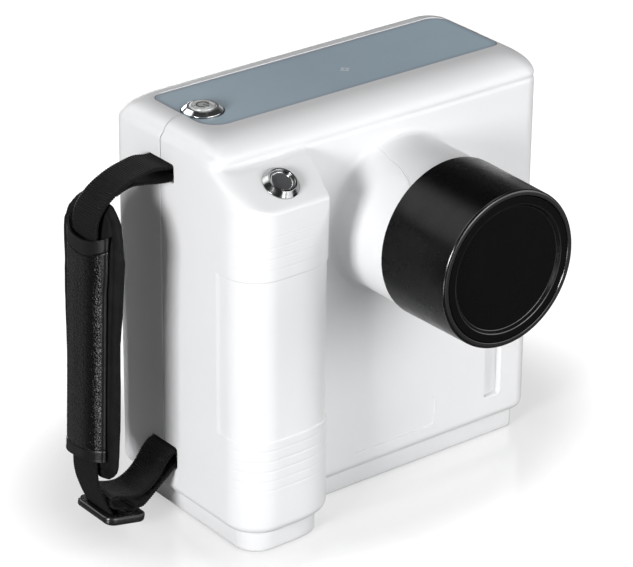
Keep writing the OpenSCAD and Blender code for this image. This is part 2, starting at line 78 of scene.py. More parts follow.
class Nodes:
    """Shorthand for building a node tree. Sockets are linked, other values are set."""

    def __init__(self, tree):
        self.tree = tree

    def add(self, kind, inputs=None, **props):
        node = self.tree.nodes.new(kind)
        for k, v in props.items():
            setattr(node, k, v)
        for k, v in (inputs or {}).items():
            if isinstance(v, bpy.types.NodeSocket):
                self.tree.links.new(v, node.inputs[k])
            else:
                node.inputs[k].default_value = v
        return node

    def math(self, operation, a, b=0.0):
        return self.add("ShaderNodeMath", {0: a, 1: b}, operation=operation).outputs[0]

    def vector(self, operation, a, b):
        return self.add("ShaderNodeVectorMath", {0: a, 1: b}, operation=operation).outputs

    def span(self, value, low, high, from_low=0.3, from_high=0.7, **props):
        """The value's range from_low to from_high, spread over low to high."""
        return self.add("ShaderNodeMapRange", {"Value": value, "From Min": from_low, "From Max": from_high,
                                               "To Min": low, "To Max": high}, **props).outputs[0]

    def mix(self, factor, a, b):
        """Colour socket a, turning into colour b as the factor goes from 0 to 1."""
        return self.add("ShaderNodeMix", {"Factor": factor, 6: a, 7: (*b, 1)}, data_type="RGBA").outputs[2]


class Finish(Nodes):
    """A Principled material with helpers for its procedural nodes."""

    def __init__(self, name, color, rough, metal=0.0, **sockets):
        self.mat = bpy.data.materials.new(name)
        self.mat.use_nodes = True
        super().__init__(self.mat.node_tree)
        self.shader = self.tree.nodes["Principled BSDF"]
        self.shader.inputs["Base Color"].default_value = (*color, 1)
        self.shader.inputs["Roughness"].default_value = rough
        self.shader.inputs["Metallic"].default_value = metal
        for socket, value in sockets.items():
            self.shader.inputs[socket.replace("_", " ")].default_value = value
        self.height = None
        coordinates = self.add("ShaderNodeTexCoord").outputs["Object"]
        self.mm = self.add("ShaderNodeVectorMath", {0: coordinates, "Scale": 1000}, operation="SCALE").outputs[0]

    def noise(self, size, detail, rough=0.55, where=None):
        """Noise whose blobs are about size mm across, from 0 to 1."""
        node = self.add("ShaderNodeTexNoise", {"Vector": where or self.mm, "Scale": 1.0 / size,
                                               "Detail": detail, "Roughness": rough})
        return node.outputs["Fac"]

    def tint(self, value, *stops):
        """Colour from a value, through (position, colour) stops."""
        ramp = self.add("ShaderNodeValToRGB", {"Fac": value})
        elements = ramp.color_ramp.elements
        while len(elements) < len(stops):
            elements.new(0.5)
        for element, (position, color) in zip(elements, stops):
            element.position = position
            element.color = (*color, 1)
        return ramp.outputs["Color"]

    def base(self, socket):
        self.tree.links.new(socket, self.shader.inputs["Base Color"])
        return self

    def rough(self, socket):
        self.tree.links.new(socket, self.shader.inputs["Roughness"])
        return self

    def bump(self, socket, depth_mm, strength=1.0):
        """Adds a bump of that depth on top of the ones already there."""
        node = self.add("ShaderNodeBump", {"Height": socket, "Strength": strength, "Distance": depth_mm / 1000})
        if self.height is not None:
            self.tree.links.new(self.height, node.inputs["Normal"])
        self.height = node.outputs["Normal"]
        self.tree.links.new(self.height, self.shader.inputs["Normal"])
        return self


def shade(color, factor):
    return tuple(min(1.0, c * factor) for c in color)


def plastic(name, color, rough, vary=0.06, grain=0.35, depth=0.004, spread=0.05, **sockets):
    """Moulded plastic: a faint cast of the colour, handling marks in the gloss and a fine skin."""
    f = Finish(name, color, rough, **sockets)
    cast = f.noise(38, 2)
    f.base(f.tint(cast, (0.3, shade(color, 1 - vary)), (0.7, color)))
    marks = f.math("ADD", f.math("MULTIPLY", f.noise(9, 2, 0.5), 0.75), f.math("MULTIPLY", f.noise(2.6, 1), 0.25))
    f.rough(f.span(marks, rough - spread, rough + spread, 0.35, 0.65))
    f.bump(f.noise(grain, 2), depth)
    return f


def metal(name, color, rough, brushed, vary=0.1):
    f = Finish(name, color, rough, 1.0)
    smudge = f.noise(3.2, 5, 0.6)
    f.base(f.tint(smudge, (0.3, shade(color, 1 - vary)), (0.7, color)))
    f.rough(f.span(smudge, rough * 0.7, rough * 1.5, 0.35, 0.7))
    if brushed:
        across = f.vector("MULTIPLY", f.mm, (0.15, 9, 9))[0]
        f.bump(f.noise(1.0, 2, where=across), brushed)
    f.bump(f.noise(0.5, 3), 0.0015)
    return f


WHITE = (0.83, 0.835, 0.845)
white = plastic("shell_white", WHITE, 0.34, 0.018, 16, 0.004, 0.02, Specular_IOR_Level=0.4)
white_inner = plastic("plinth_white", (0.80, 0.805, 0.815), 0.32, 0.03, 12, 0.006, 0.02)
cone_side = plastic("cone_gloss", (0.0022, 0.0022, 0.0024), 0.27, 0.2, 7, 0.008, 0.03, Specular_IOR_Level=0.15)
cone_edge = plastic("cone_edge", (0.003, 0.003, 0.0033), 0.2, 0.2, 7, 0.004, 0.03, Specular_IOR_Level=0.9)
cone_face = plastic("cone_face", (0.0026, 0.0026, 0.0029), 0.3, 0.2, 7, 0.008, 0.04, Specular_IOR_Level=0.1)
chrome = metal("chrome", (0.86, 0.87, 0.88), 0.1, 0, 0.05)
satin = Finish("satin_cap", (0.72, 0.725, 0.73), 0.3, 0.45)
satin.rough(satin.span(satin.noise(3.2, 4, 0.6), 0.26, 0.36, 0.35, 0.7))
satin.bump(satin.noise(0.5, 2), 0.001)
dark_chrome = metal("dark_chrome", (0.4, 0.405, 0.41), 0.15, 0, 0.05)
button_grey = plastic("button_grey", (0.075, 0.077, 0.08), 0.36, 0.15, 0.3, 0.006)
dark_mark = plastic("dark_mark", (0.028, 0.029, 0.031), 0.4, 0.15)
lead = metal("lead", (0.30, 0.31, 0.34), 0.55, 0, 0.25)
aluminium = metal("aluminium", (0.66, 0.67, 0.69), 0.34, 0.012)
steel = metal("steel", (0.56, 0.57, 0.58), 0.28, 0.006)
copper = metal("copper", (0.72, 0.34, 0.17), 0.3, 0.0, 0.25)
brass = metal("brass", (0.72, 0.55, 0.27), 0.27, 0.006, 0.15)
port_resin = plastic("port_resin", (0.62, 0.52, 0.28), 0.35, 0.2, Subsurface_Weight=0.2)
switch_black = plastic("switch_black", (0.02, 0.02, 0.021), 0.45, 0.3)
jack_black = plastic("jack_black", (0.018, 0.018, 0.019), 0.38, 0.3, 0.3, 0.008)
buckle_black = plastic("buckle_black", (0.009, 0.009, 0.0095), 0.3, 0.2, 0.6, 0.003, 0.05, Specular_IOR_Level=0.7)
key_blue = plastic("key_blue", (0.09, 0.2, 0.36), 0.42, 0.1, 0.25, 0.008)
key_grey = plastic("key_grey", (0.52, 0.54, 0.57), 0.42, 0.06, 0.25, 0.008)
key_amber = plastic("key_amber", (0.74, 0.33, 0.06), 0.42, 0.1, 0.25, 0.008)
icon_white = plastic("icon_white", (0.86, 0.87, 0.88), 0.45, 0.04)
icon_dark = plastic("icon_dark", (0.05, 0.06, 0.075), 0.45, 0.1)
tray_black = plastic("tray_black", (0.03, 0.03, 0.032), 0.5, 0.2)
cable_grey = plastic("cable_grey", (0.5, 0.51, 0.53), 0.45, 0.12)

glass = Finish("tube_glass", (0.86, 0.93, 0.93), 0.04, Transmission_Weight=0.95, IOR=1.47)
glass.rough(glass.span(glass.noise(6, 4), 0.02, 0.1))

core = Finish("core_steel", (0.1, 0.1, 0.11), 0.5, 0.6)
layers = core.add("ShaderNodeTexWave", {"Vector": core.mm, "Scale": 0.35, "Distortion": 0.2}, bands_direction="Y")
core.base(core.tint(layers.outputs["Fac"], (0.2, (0.045, 0.045, 0.05)), (0.8, (0.16, 0.16, 0.17))))
core.bump(layers.outputs["Fac"], 0.1)

coil = Finish("coil_wire", (0.45, 0.2, 0.06), 0.35, 0.7)
turns = coil.add("ShaderNodeTexWave", {"Vector": coil.mm, "Scale": 0.6, "Distortion": 0.4}, bands_direction="Z")
# the wire is dark where the bump is low and bright copper where it is high: painted shade between the turns
coil.base(coil.tint(turns.outputs["Fac"], (0.1, (0.12, 0.045, 0.012)), (0.8, (0.62, 0.29, 0.1))))
coil.bump(turns.outputs["Fac"], 0.25)

board = Finish("circuit_board", (0.02, 0.13, 0.06), 0.32)
tracks = board.add("ShaderNodeTexBrick", {"Vector": board.mm, "Scale": 0.22, "Mortar Size": 0.03,
                                          "Color1": (0.012, 0.10, 0.045, 1), "Color2": (0.018, 0.12, 0.055, 1),
                                          "Mortar": (0.05, 0.22, 0.09, 1)}, offset=0.37)
board.base(tracks.outputs["Color"])
board.bump(tracks.outputs["Fac"], 0.03)

capacitor = Finish("capacitor_sleeve", (0.03, 0.06, 0.16), 0.28)
capacitor.base(capacitor.tint(capacitor.noise(5, 3), (0.35, (0.02, 0.035, 0.1)), (0.65, (0.045, 0.075, 0.18))))
capacitor.bump(capacitor.noise(1.5, 2), 0.02)

battery = Finish("battery_wrap", (0.05, 0.16, 0.36), 0.3)
wrap = battery.noise(14, 3)
battery.base(battery.tint(wrap, (0.3, (0.04, 0.12, 0.3)), (0.7, (0.07, 0.2, 0.42))))
battery.bump(battery.noise(2.5, 3), 0.03)

window_glass = Finish("window_glass", (0.006, 0.007, 0.009), 0.05, Coat_Weight=0.6, Coat_Roughness=0.03)
window_glass.rough(window_glass.span(window_glass.noise(7, 5), 0.03, 0.12))
window_glass.bump(window_glass.noise(24, 1), 0.01)

screen = Finish("screen", (0.02, 0.03, 0.05), 0.12)
cells = screen.add("ShaderNodeTexChecker", {"Vector": screen.mm, "Scale": 1.6, "Color1": (0.03, 0.09, 0.16, 1),
                                            "Color2": (0.034, 0.1, 0.18, 1)})
screen.base(cells.outputs["Color"])
screen.rough(screen.span(screen.noise(7, 5), 0.06, 0.16))
screen_mark = Finish("screen_mark", (0.55, 0.72, 0.82), 0.2)
screen_mark.base(screen_mark.tint(screen_mark.noise(3, 2), (0.3, (0.45, 0.62, 0.74)), (0.7, (0.6, 0.78, 0.88))))

# printed polyester film: blue-grey, lighter towards one end, with a violet cast at its rim
film = Finish("label_film", (0.25, 0.30, 0.34), 0.36, Specular_IOR_Level=0.35)
rim = film.add("ShaderNodeAttribute", attribute_name="rim").outputs["Fac"]
along = film.add("ShaderNodeSeparateXYZ", {0: film.mm})
patchy = film.math("MULTIPLY", film.noise(26, 2), 0.3)
sweep = film.math("ADD", film.span(along.outputs["X"], 0, 0.75, -80, 85), patchy)
ground = film.tint(sweep, (0.1, (0.475, 0.59, 0.67)), (0.5, (0.40, 0.505, 0.59)), (0.95, (0.44, 0.565, 0.65)))
edged = film.mix(film.span(rim, 0.55, 0.0, 0.0, 0.28), ground, (0.27, 0.27, 0.345))
film.base(film.mix(film.span(rim, 1, 0, 0.016, 0.028), edged, (0.085, 0.095, 0.12)))
film.rough(film.span(film.noise(11, 1), 0.32, 0.42))
film.bump(film.noise(14, 1), 0.012)


def fabric(name, color, pitch, depth, rough, sheen):
    """Ribbed webbing. Its UV map runs along the band and across it, in millimetres."""
    f = Finish(name, color, rough, Sheen_Weight=sheen, Sheen_Roughness=0.4, Specular_IOR_Level=0.12)
    uv = f.add("ShaderNodeUVMap", uv_map="band").outputs[0]
    parts = f.add("ShaderNodeSeparateXYZ", {0: uv})
    lengthwise, crosswise = parts.outputs["X"], parts.outputs["Y"]
    warp = f.math("SINE", f.math("MULTIPLY", crosswise, 2 * math.pi / 0.62))
    row = f.math("MULTIPLY", lengthwise, math.pi / pitch)
    over = f.math("MULTIPLY", warp, f.math("COSINE", row))
    rib = f.math("ABSOLUTE", f.math("SINE", row))
    height = f.math("ADD", f.math("MULTIPLY", rib, 0.6), f.math("MULTIPLY", over, 0.25))
    fuzz = f.noise(0.22, 4, 0.7)
    # colour: painted highlight on the raised ribs and painted shade in the hollows between them, mixed with a
    # random fuzz tone
    lit = f.math("ADD", f.math("MULTIPLY", height, 0.8), f.math("MULTIPLY", fuzz, 0.5))
    f.base(f.tint(lit, (0.15, shade(color, 0.35)), (0.6, color), (0.95, shade(color, 1.7))))
    f.rough(f.span(fuzz, rough - 0.1, rough + 0.1))
    f.bump(height, depth)
    f.bump(fuzz, 0.05, 0.8)
    return f


webbing = fabric("webbing_nylon", (0.0075, 0.0075, 0.008), 1.05, 0.22, 0.6, 0.03)

# coated pad fabric: smooth, soft gloss, faint weave and creases
pad_cloth = Finish("pad_fabric", (0.008, 0.008, 0.0085), 0.5, Specular_IOR_Level=0.06)
weave = pad_cloth.add("ShaderNodeTexVoronoi", {"Vector": pad_cloth.mm, "Scale": 2.2, "Randomness": 0.55})
soft = pad_cloth.noise(5, 4, 0.6)
pad_cloth.base(pad_cloth.tint(soft, (0.3, (0.0075, 0.0075, 0.0078)), (0.7, (0.0125, 0.0125, 0.013))))
pad_cloth.rough(pad_cloth.span(soft, 0.5, 0.66))
pad_cloth.bump(weave.outputs["Distance"], 0.03)
pad_cloth.bump(soft, 0.18, 0.6)

# pebbled leather of the sleeve: raised grains, and rougher valleys with painted shade in them
leather = Finish("sleeve_leather", (0.004, 0.004, 0.0042), 0.32, Specular_IOR_Level=0.5)
swirl = leather.add("ShaderNodeTexNoise", {"Vector": leather.mm, "Scale": 0.9}).outputs["Color"]
warped = leather.vector("ADD", leather.mm, leather.vector("MULTIPLY", swirl, (0.5, 0.5, 0.5))[0])[0]
grains = leather.add("ShaderNodeTexVoronoi", {"Vector": warped, "Scale": 0.78, "Randomness": 0.9},
                     feature="DISTANCE_TO_EDGE")
raised = leather.span(grains.outputs["Distance"], 0, 1, 0.0, 0.24)
# colour darker where the grains sink: painted shade in the valleys
leather.base(leather.tint(raised, (0.0, (0.001, 0.001, 0.0011)), (0.7, (0.003, 0.003, 0.0032))))
leather.rough(leather.span(raised, 0.29, 0.19, 0.0, 1.0))
leather.bump(raised, 0.04)
leather.bump(leather.noise(0.6, 2), 0.008)

thread = Finish("thread", (0.012, 0.012, 0.013), 0.55, Specular_IOR_Level=0.3, Sheen_Weight=0.03)
ply = thread.add("ShaderNodeTexWave", {"Vector": thread.mm, "Scale": 1.5, "Distortion": 1.0},
                 bands_direction="DIAGONAL")
# colour lighter on the raised plies and darker in the grooves between them: painted highlight and shade
thread.base(thread.tint(ply.outputs["Fac"], (0.2, (0.007, 0.007, 0.0075)), (0.8, (0.022, 0.022, 0.023))))
thread.bump(ply.outputs["Fac"], 0.08)

edge_binding = Finish("hem_leather", (0.007, 0.007, 0.0075), 0.36, Specular_IOR_Level=0.3)
nap = edge_binding.noise(0.5, 4, 0.7)
edge_binding.base(edge_binding.tint(nap, (0.3, (0.0055, 0.0055, 0.0058)), (0.7, (0.0095, 0.0095, 0.01))))
edge_binding.rough(edge_binding.span(nap, 0.3, 0.46))
edge_binding.bump(nap, 0.015)

# ---- mesh helpers -----------------------------------------------------------------


def smoothstep(t):
    t = np.clip(t, 0.0, 1.0)
    return t * t * (3 - 2 * t)


def ease(t):
    return float(smoothstep(t))


def hump(t):
    return math.exp(-(t ** 2))


def add_object(name, data):
    obj = bpy.data.objects.new(name, data)
    bpy.context.scene.collection.objects.link(obj)
    return obj


def modify(obj, kind, **settings):
    modifier = obj.modifiers.new(kind.lower(), kind)
    for name, value in settings.items():
        setattr(modifier, name, value)
    return modifier


def make(name, verts, faces, uv=None):
    """Object from points in millimetres."""
    mesh = bpy.data.meshes.new(name)
    points = [tuple(float(c) * MM for c in v) for v in verts]
    mesh.from_pydata(points, [], [tuple(int(i) for i in f) for f in faces])
    mesh.validate()
    obj = add_object(name, mesh)
    if uv is not None:
        layer = mesh.uv_layers.new(name="band")
        for loop in mesh.loops:
            layer.data[loop.index].uv = uv[loop.vertex_index]
    return obj


@contextmanager
def edited(obj):
    """The object's mesh as a bmesh, which is written back at the end."""
    bm = bmesh.new()
    bm.from_mesh(obj.data)
    yield bm
    bm.to_mesh(obj.data)
    bm.free()


def outward(obj):
    with edited(obj) as bm:
        bmesh.ops.recalc_face_normals(bm, faces=bm.faces)
    return obj


def smooth(obj, angle, weighted=True):
    obj.data.polygons.foreach_set("use_smooth", [True] * len(obj.data.polygons))
    obj.data.set_sharp_from_angle(angle=math.radians(angle))
    if weighted:
        modify(obj, "WEIGHTED_NORMAL", keep_sharp=True, weight=60)
    return obj


def place(obj, finish, body="housing", slot=None, replaces=()):
    if finish is not None:
        obj.data.materials.clear()
        obj.data.materials.append(finish.mat)
    if body:
        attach(obj, body)
    if replaces:
        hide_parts(*replaces)
    return obj


def grid(rows, closed_u=True, cap_start=False, cap_end=False, closed_v=False):
    """Verts and faces of a lattice of rows, each a list of points."""
    n, m = len(rows), len(rows[0])
    verts = [p for row in rows for p in row]
    faces = []
    for i in range(n if closed_v else n - 1):
        k = (i + 1) % n
        for j in range(m if closed_u else m - 1):
            l = (j + 1) % m
            faces.append((i * m + j, i * m + l, k * m + l, k * m + j))
    if cap_start:
        faces.append(tuple(range(m - 1, -1, -1)))
    if cap_end:
        faces.append(tuple((n - 1) * m + j for j in range(m)))
    return verts, faces


def rounded(points, steps=6):
    """Polyline from (a, b, radius) corners, each turned into an arc."""
    out = []
    n = len(points)
    for i, (x, y, r) in enumerate(points):
        p = np.array((x, y), float)
        if r <= 0 or i in (0, n - 1):
            out.append(p)
            continue
        a = np.array(points[i - 1][:2], float) - p
        b = np.array(points[i + 1][:2], float) - p
        la, lb = np.linalg.norm(a), np.linalg.norm(b)
        a, b = a / la, b / lb
        half = math.acos(max(-1, min(1, float(a @ b)))) / 2
        if abs(half - math.pi / 2) < 1e-3:
            out.append(p)
            continue
        cut = min(r / math.tan(half), la * 0.49, lb * 0.49)
        r = cut * math.tan(half)
        middle = (a + b) / np.linalg.norm(a + b)
        centre = p + middle * (r / math.sin(half))
        start, end = p + a * cut - centre, p + b * cut - centre
        t0 = math.atan2(start[1], start[0])
        turn = (math.atan2(end[1], end[0]) - t0 + math.pi) % (2 * math.pi) - math.pi
        for k in range(steps + 1):
            t = t0 + turn * k / steps
            out.append(centre + r * np.array((math.cos(t), math.sin(t))))
    return out


def lathe(name, profile, frame_matrix, segments, closed):
    """Turns (radius, height) points about local Z; frame_matrix puts that frame in place, in millimetres."""
    angles = [2 * math.pi * k / segments for k in range(segments)]
    rows = [[tuple(frame_matrix @ Vector((r * math.cos(t), r * math.sin(t), h))) for r, h in profile]
            for t in angles]
    obj = make(name, *grid(rows, closed_u=closed, closed_v=True))
    with edited(obj) as bm:
        bmesh.ops.remove_doubles(bm, verts=bm.verts, dist=1e-6)
        bmesh.ops.recalc_face_normals(bm, faces=bm.faces)
    return obj


def turned(name, points, at, segments, finish, slot, steps=6, angle=40, **riding):
    """Turned piece from (radius, height, rounding) corners. A profile that starts on the axis stays open there."""
    profile = [(max(0.0, p[0]), p[1]) for p in rounded(points, steps)]
    obj = lathe(name, profile, at, segments, closed=points[0][0] > 0)
    return place(smooth(obj, angle), finish, slot=slot, **riding)


def rect(x0, y0, x1, y1, radii, steps, grow):
    """Rounded rectangle, counter-clockwise, radii at [-x -y, +x -y, +x +y, -x +y]."""
    r = [max(0.05, v + grow) for v in radii]
    x0, y0, x1, y1 = x0 - grow, y0 - grow, x1 + grow, y1 + grow
    out = []
    for (cx, cy, a0), q in zip(((x0 + r[0], y0 + r[0], 180), (x1 - r[1], y0 + r[1], 270),
                                (x1 - r[2], y1 - r[2], 0), (x0 + r[3], y1 - r[3], 90)), r):
        for k in range(steps + 1):
            a = math.radians(a0 + 90 * k / steps)
            out.append((cx + q * math.cos(a), cy + q * math.sin(a)))
    return out


def loft(outline, levels, to_world):
    """Closed solid through levels (depth, growth); outline(growth) gives its points; to_world(a, b, depth)."""
    rows = [[to_world(a, b, d) for a, b in outline(g)] for d, g in levels]
    return grid(rows, cap_start=True, cap_end=True)


def mouth(depth, round_r):
    """Levels of a pocket cutter whose mouth edge is rounded."""
    levels = [(-depth, 0.0), (-round_r, 0.0)]
    for k in range(1, 6):
        t = math.radians(13.5 * k)
        levels.append((-round_r + round_r * math.sin(t), round_r * (1 - math.cos(t))))
    return levels + [(4.0, levels[-1][1] + 0.02)]


def merged(parts):
    """One list of vertices and one of faces out of several pairs."""
    verts, faces = [], []
    for v, f in parts:
        base = len(verts)
        verts += v
        faces += [tuple(base + i for i in q) for q in f]
    return verts, faces


class Cutter:
    """Collects closed cutter solids and subtracts them all at once."""

    def __init__(self):
        self.solids = []

    def add(self, outline, levels, to_world):
        self.solids.append(loft(outline, levels, to_world))

    def pocket(self, box, radii, steps, levels, to_world):
        """Adds a rounded rectangle x0, y0, x1, y1 with one corner radius or a list of four."""
        radii = radii if isinstance(radii, list) else [radii] * 4
        self.add(lambda grow: rect(*box, radii, steps, grow), levels, to_world)

    def hole(self, x, y, r, steps, levels, to_world):
        self.pocket((x - r, y - r, x + r, y + r), r, steps, levels, to_world)

    def cut(self, obj):
        tool = outward(make("cutter", *merged(self.solids)))
        modify(obj, "BOOLEAN", operation="DIFFERENCE", solver="EXACT", object=tool)
        apply_modifiers(obj)
        bpy.data.objects.remove(tool)
        if not obj.data.polygons:
            raise RuntimeError("nothing left of " + obj.name)


def apply_modifiers(obj):
    bpy.context.view_layer.update()
    graph = bpy.context.evaluated_depsgraph_get()
    mesh = bpy.data.meshes.new_from_object(obj.evaluated_get(graph))
    obj.modifiers.clear()
    obj.data = mesh


# ---- housing ----------------------------------------------------------------------

# half width, half depth and wall of the box; front of the grip; heights of its foot, of the grip's shoulder and of
# the rounded cap
HX, HY, WALL, GY = 87.5, 36.5, 3.5, -58.9
FOOT_Z, SHOULDER_Z, CAP_Z, CAP_H = 10.3, 173, 173.5, 9.5
JOINT_Y, FILM_Z = 1.4, 182.69
SLOPE_ANGLE = math.radians(30.7)
SLOPE = math.tan(SLOPE_ANGLE)

# a point on each side of the housing and its distance out of it, as a point in space
top = lambda a, b, d: (a, b, CAP_Z + CAP_H + d)
front = lambda a, b, d: (a, -HY - d, b)
rear = lambda a, b, d: (a, HY + d, b)
left = lambda a, b, d: (-HX - d, a, b)
under = lambda a, b, d: (a, b, -d)

LABEL, LABEL_RADII = (-76, -17.4, 81, 25.8), [10, 5, 8, 6]
POWER_X, POWER_Y = -66.6, 0.5
at_power = Matrix.Translation((POWER_X, POWER_Y, 182.7))
at_expo = Matrix.Translation((-63, -48.1, SHOULDER_Z - 11.6 * SLOPE)) @ Matrix.Rotation(SLOPE_ANGLE, 4, "X")
BEAM_X, BEAM_Z = 7.8, 130.5
KEY_X, KEY_Z = (-20, 5, 30), (101, 86)
BOSSES = [(80.5, 22), (80.5, 95), (80.5, 166), (-80.5, 52), (-80.5, 138), (20, 174), (-44, 19)]
BASE_SCREWS = [(-76.5, 25), (-76.5, -40), (76.5, 25), (76.5, -25), (30, -25.6), (-50, -46)]


def soft_max(a, b, k):
    h = np.clip(0.5 + 0.5 * (a - b) / k, 0, 1)
    return b * (1 - h) + a * h + k * h * (1 - h)


def lengths(p):
    """Distance of each point of a polyline from its start."""
    return np.concatenate([[0], np.cumsum(np.hypot(*np.diff(p, axis=0).T))])


def spaced(points, n, closed_end=False):
    """n points evenly along a polyline; the last one is left out unless closed_end."""
    p = np.array(points, float)
    s = lengths(p)
    t = np.linspace(0, s[-1], n if closed_end else n + 1)[: n]
    return np.stack([np.interp(t, s, p[:, 0]), np.interp(t, s, p[:, 1])], 1)


def softened(points, sigma):
    """Evenly spaced polyline with its corners eased by a bell of that width; the ends stay."""
    step = 0.35
    p = np.array(points, float)
    q = spaced(p, max(8, int(lengths(p)[-1] / step)), True)
    if sigma < 0.2:
        return q
    reach = int(3 * sigma / step) + 1
    first, last = q[0], q[-1]
    before = first - (q[1:reach + 1][::-1] - first)
    after = last - (q[-reach - 1:-1][::-1] - last)
    r = np.concatenate([before, q, after])
    w = np.exp(-0.5 * (np.arange(-reach, reach + 1) * step / sigma) ** 2)
    w /= w.sum()
    return np.stack([np.convolve(r[:, i], w, "valid") for i in (0, 1)], 1)


def arc(cx, cy, r, a0, a1, n=24):
    a = np.radians(np.linspace(a0, a1, n))
    return [(cx + r * math.cos(t), cy + r * math.sin(t)) for t in a]


def outline_at(z, g=0.0):
    """Plan of the housing at height z, drawn in by g: down the left wall, along the front and back round."""
    f = 0.0
    rise = (z - CAP_Z) / (CAP_H - g)
    if rise > 0:
        f = 1 - math.sqrt(max(0.0, 1 - min(1.0, rise) ** 2))
    x0, x1 = -HX + g + (10 - g) * f, HX - g - (9 - g) * f
    y0, y1 = -HY + g + (15.5 - g) * f, HY - g - (9 - g) * f
    r = max(7.5 - g, 3.0) + 3.5 * f
    lean = g / math.cos(SLOPE_ANGLE)
    face = float(soft_max(GY + g, -HY + g - (SHOULDER_Z - lean - z) / SLOPE, 2.2 if not g else 1.0))
    face = min(face, -HY + g)
    out = [spaced([(x0, y1 - r + 3.5 * f), (x0, 4)], 10), spaced([(x0, 4), (x0, -1)], 22)]
    if z < SHOULDER_Z - lean:
        corner = [(x0, -1)] + arc(-71.5, -42.9, 16 - g, 180, 270, 60) + [(-62, GY + g)]
        corner = [(x, max(y, face)) for x, y in corner]
        blur = 0.5 + 4.1 * ease((z - 158.5) / 6.0)
        out.append(spaced(softened(corner, blur), 72))
        w = ease((158 - z) / 27)
        qx = -46 - g + 4.6 * (face - GY - g) / 22.4
        deep = -HY + g - face
        small = min(0.55, deep * 0.4)
        pa = np.array((qx - 0.6 - 14.5 * w, face))
        pc = np.array((qx + 8.2 * w, face))
        pb = (1 - w) * np.array((qx + 0.2 * small, face + small)) + w * np.array((-40.6 - g, -44.5 + g * 0.5))
        end = np.array((-41.4 + 0.7 * w - g, -HY + g))
        t = np.linspace(0, 1, 25)[:, None]
        bend = (1 - t) ** 2 * pa + 2 * t * (1 - t) * pc + t * t * pb
        out.append(spaced([(-62, face), pa], 10))
        out.append(bend[:-1])
        side = min(0.7, deep * 0.4)
        toward = (end - pb) / max(1e-6, np.linalg.norm(end - pb))
        out.append(spaced([pb, end - toward * side], 10))
        out.append(spaced([end - toward * side, end - toward * side * 0.3 + (side * 0.3, 0), end + (side, 0)], 4))
        start = end[0] + side
    else:
        corner = [(x0, -1), (x0, y0), (-62, y0)]
        out.append(spaced(softened(corner, 4.6 - 0.4 * f), 72))
        out.append(spaced([(-62, y0), (-40.6, y0)], 48))
        start = -40.6
    out.append(spaced([(start, y0), (x1 - r, y0)], 40))
    out.append(spaced(arc(x1 - r, y0 + r, r, 270, 360), 14))
    for a, b, count in ((y0 + r, -1, 10), (-1, 4, 22), (4, y1 - r, 8)):
        out.append(spaced([(x1, a), (x1, b)], count))
    out.append(spaced(arc(x1 - r, y1 - r, r, 0, 90), 14))
    q = r - 3.5 * f
    out.append(spaced([(x1 - r, y1), (x0 + q, y1)], 46))
    out.append(spaced(arc(x0 + q, y1 - q, q, 90, 180), 14))
    return np.concatenate(out)


def plan_normals(p):
    d = np.roll(p, -1, 0) - np.roll(p, 1, 0)
    n = np.stack([d[:, 1], -d[:, 0]], 1)
    return n / np.maximum(1e-9, np.hypot(*n.T))[:, None]


# height, depth and width of the grooves round the grip: bold ones, then fine ones
GROOVES = [(height, depth, 0.42) for height, depth in (
    (32.2, 0.11), (36.6, 0.12), (41.3, 0.14), (46.0, 0.15), (50.9, 0.12),
    (134.2, 0.08), (139.1, 0.08), (144.4, 0.07), (148.9, 0.06))]
GROOVES += [(133.0 + 1.62 * i, 0.035, 0.36) for i in range(13)]


def foot_radius(g):
    return 5 - g if g < 3 else 2.0


def housing_rows(g):
    """Heights of the rings of the housing, packed where it has grooves and edges."""
    low, r = FOOT_Z + g, foot_radius(g)
    rows = [low + r * (1 - math.cos(t)) for t in np.radians(np.linspace(0, 90, 9))]
    if g:
        rows += [*np.linspace(low + r + 4, 156, 12), *np.linspace(158, 172, 12), CAP_Z]
        first, count = 10, 9
    else:
        rows += [18, 21, 24, 27, 30, *np.arange(31.0, 57.0, 0.3), *np.arange(58, 127.5, 5.0)]
        rows += [*np.arange(128.2, 155.0, 0.3), *np.arange(155.3, 173.4, 0.45)]
        first, count = 0, 44
    return rows + [CAP_Z + (CAP_H - g) * math.sin(t) for t in np.radians(np.linspace(first, 90, count))]


def bell(t):
    return np.exp(-(t ** 2))


def crease_height(p, sideways):
    """Height of the shallow valley under the cap: lower at the front than over the grip side."""
    x, y = p[..., 0], p[..., 1]
    fore = 173.6 - 0.5 * (x + 40) / 60
    fore = np.clip(fore, 173.0, 174.6)
    over_left = smoothstep(sideways / 0.9)
    return fore * (1 - over_left) + over_left * (177.6 - 0.9 * smoothstep((y + 30) / 60.0))


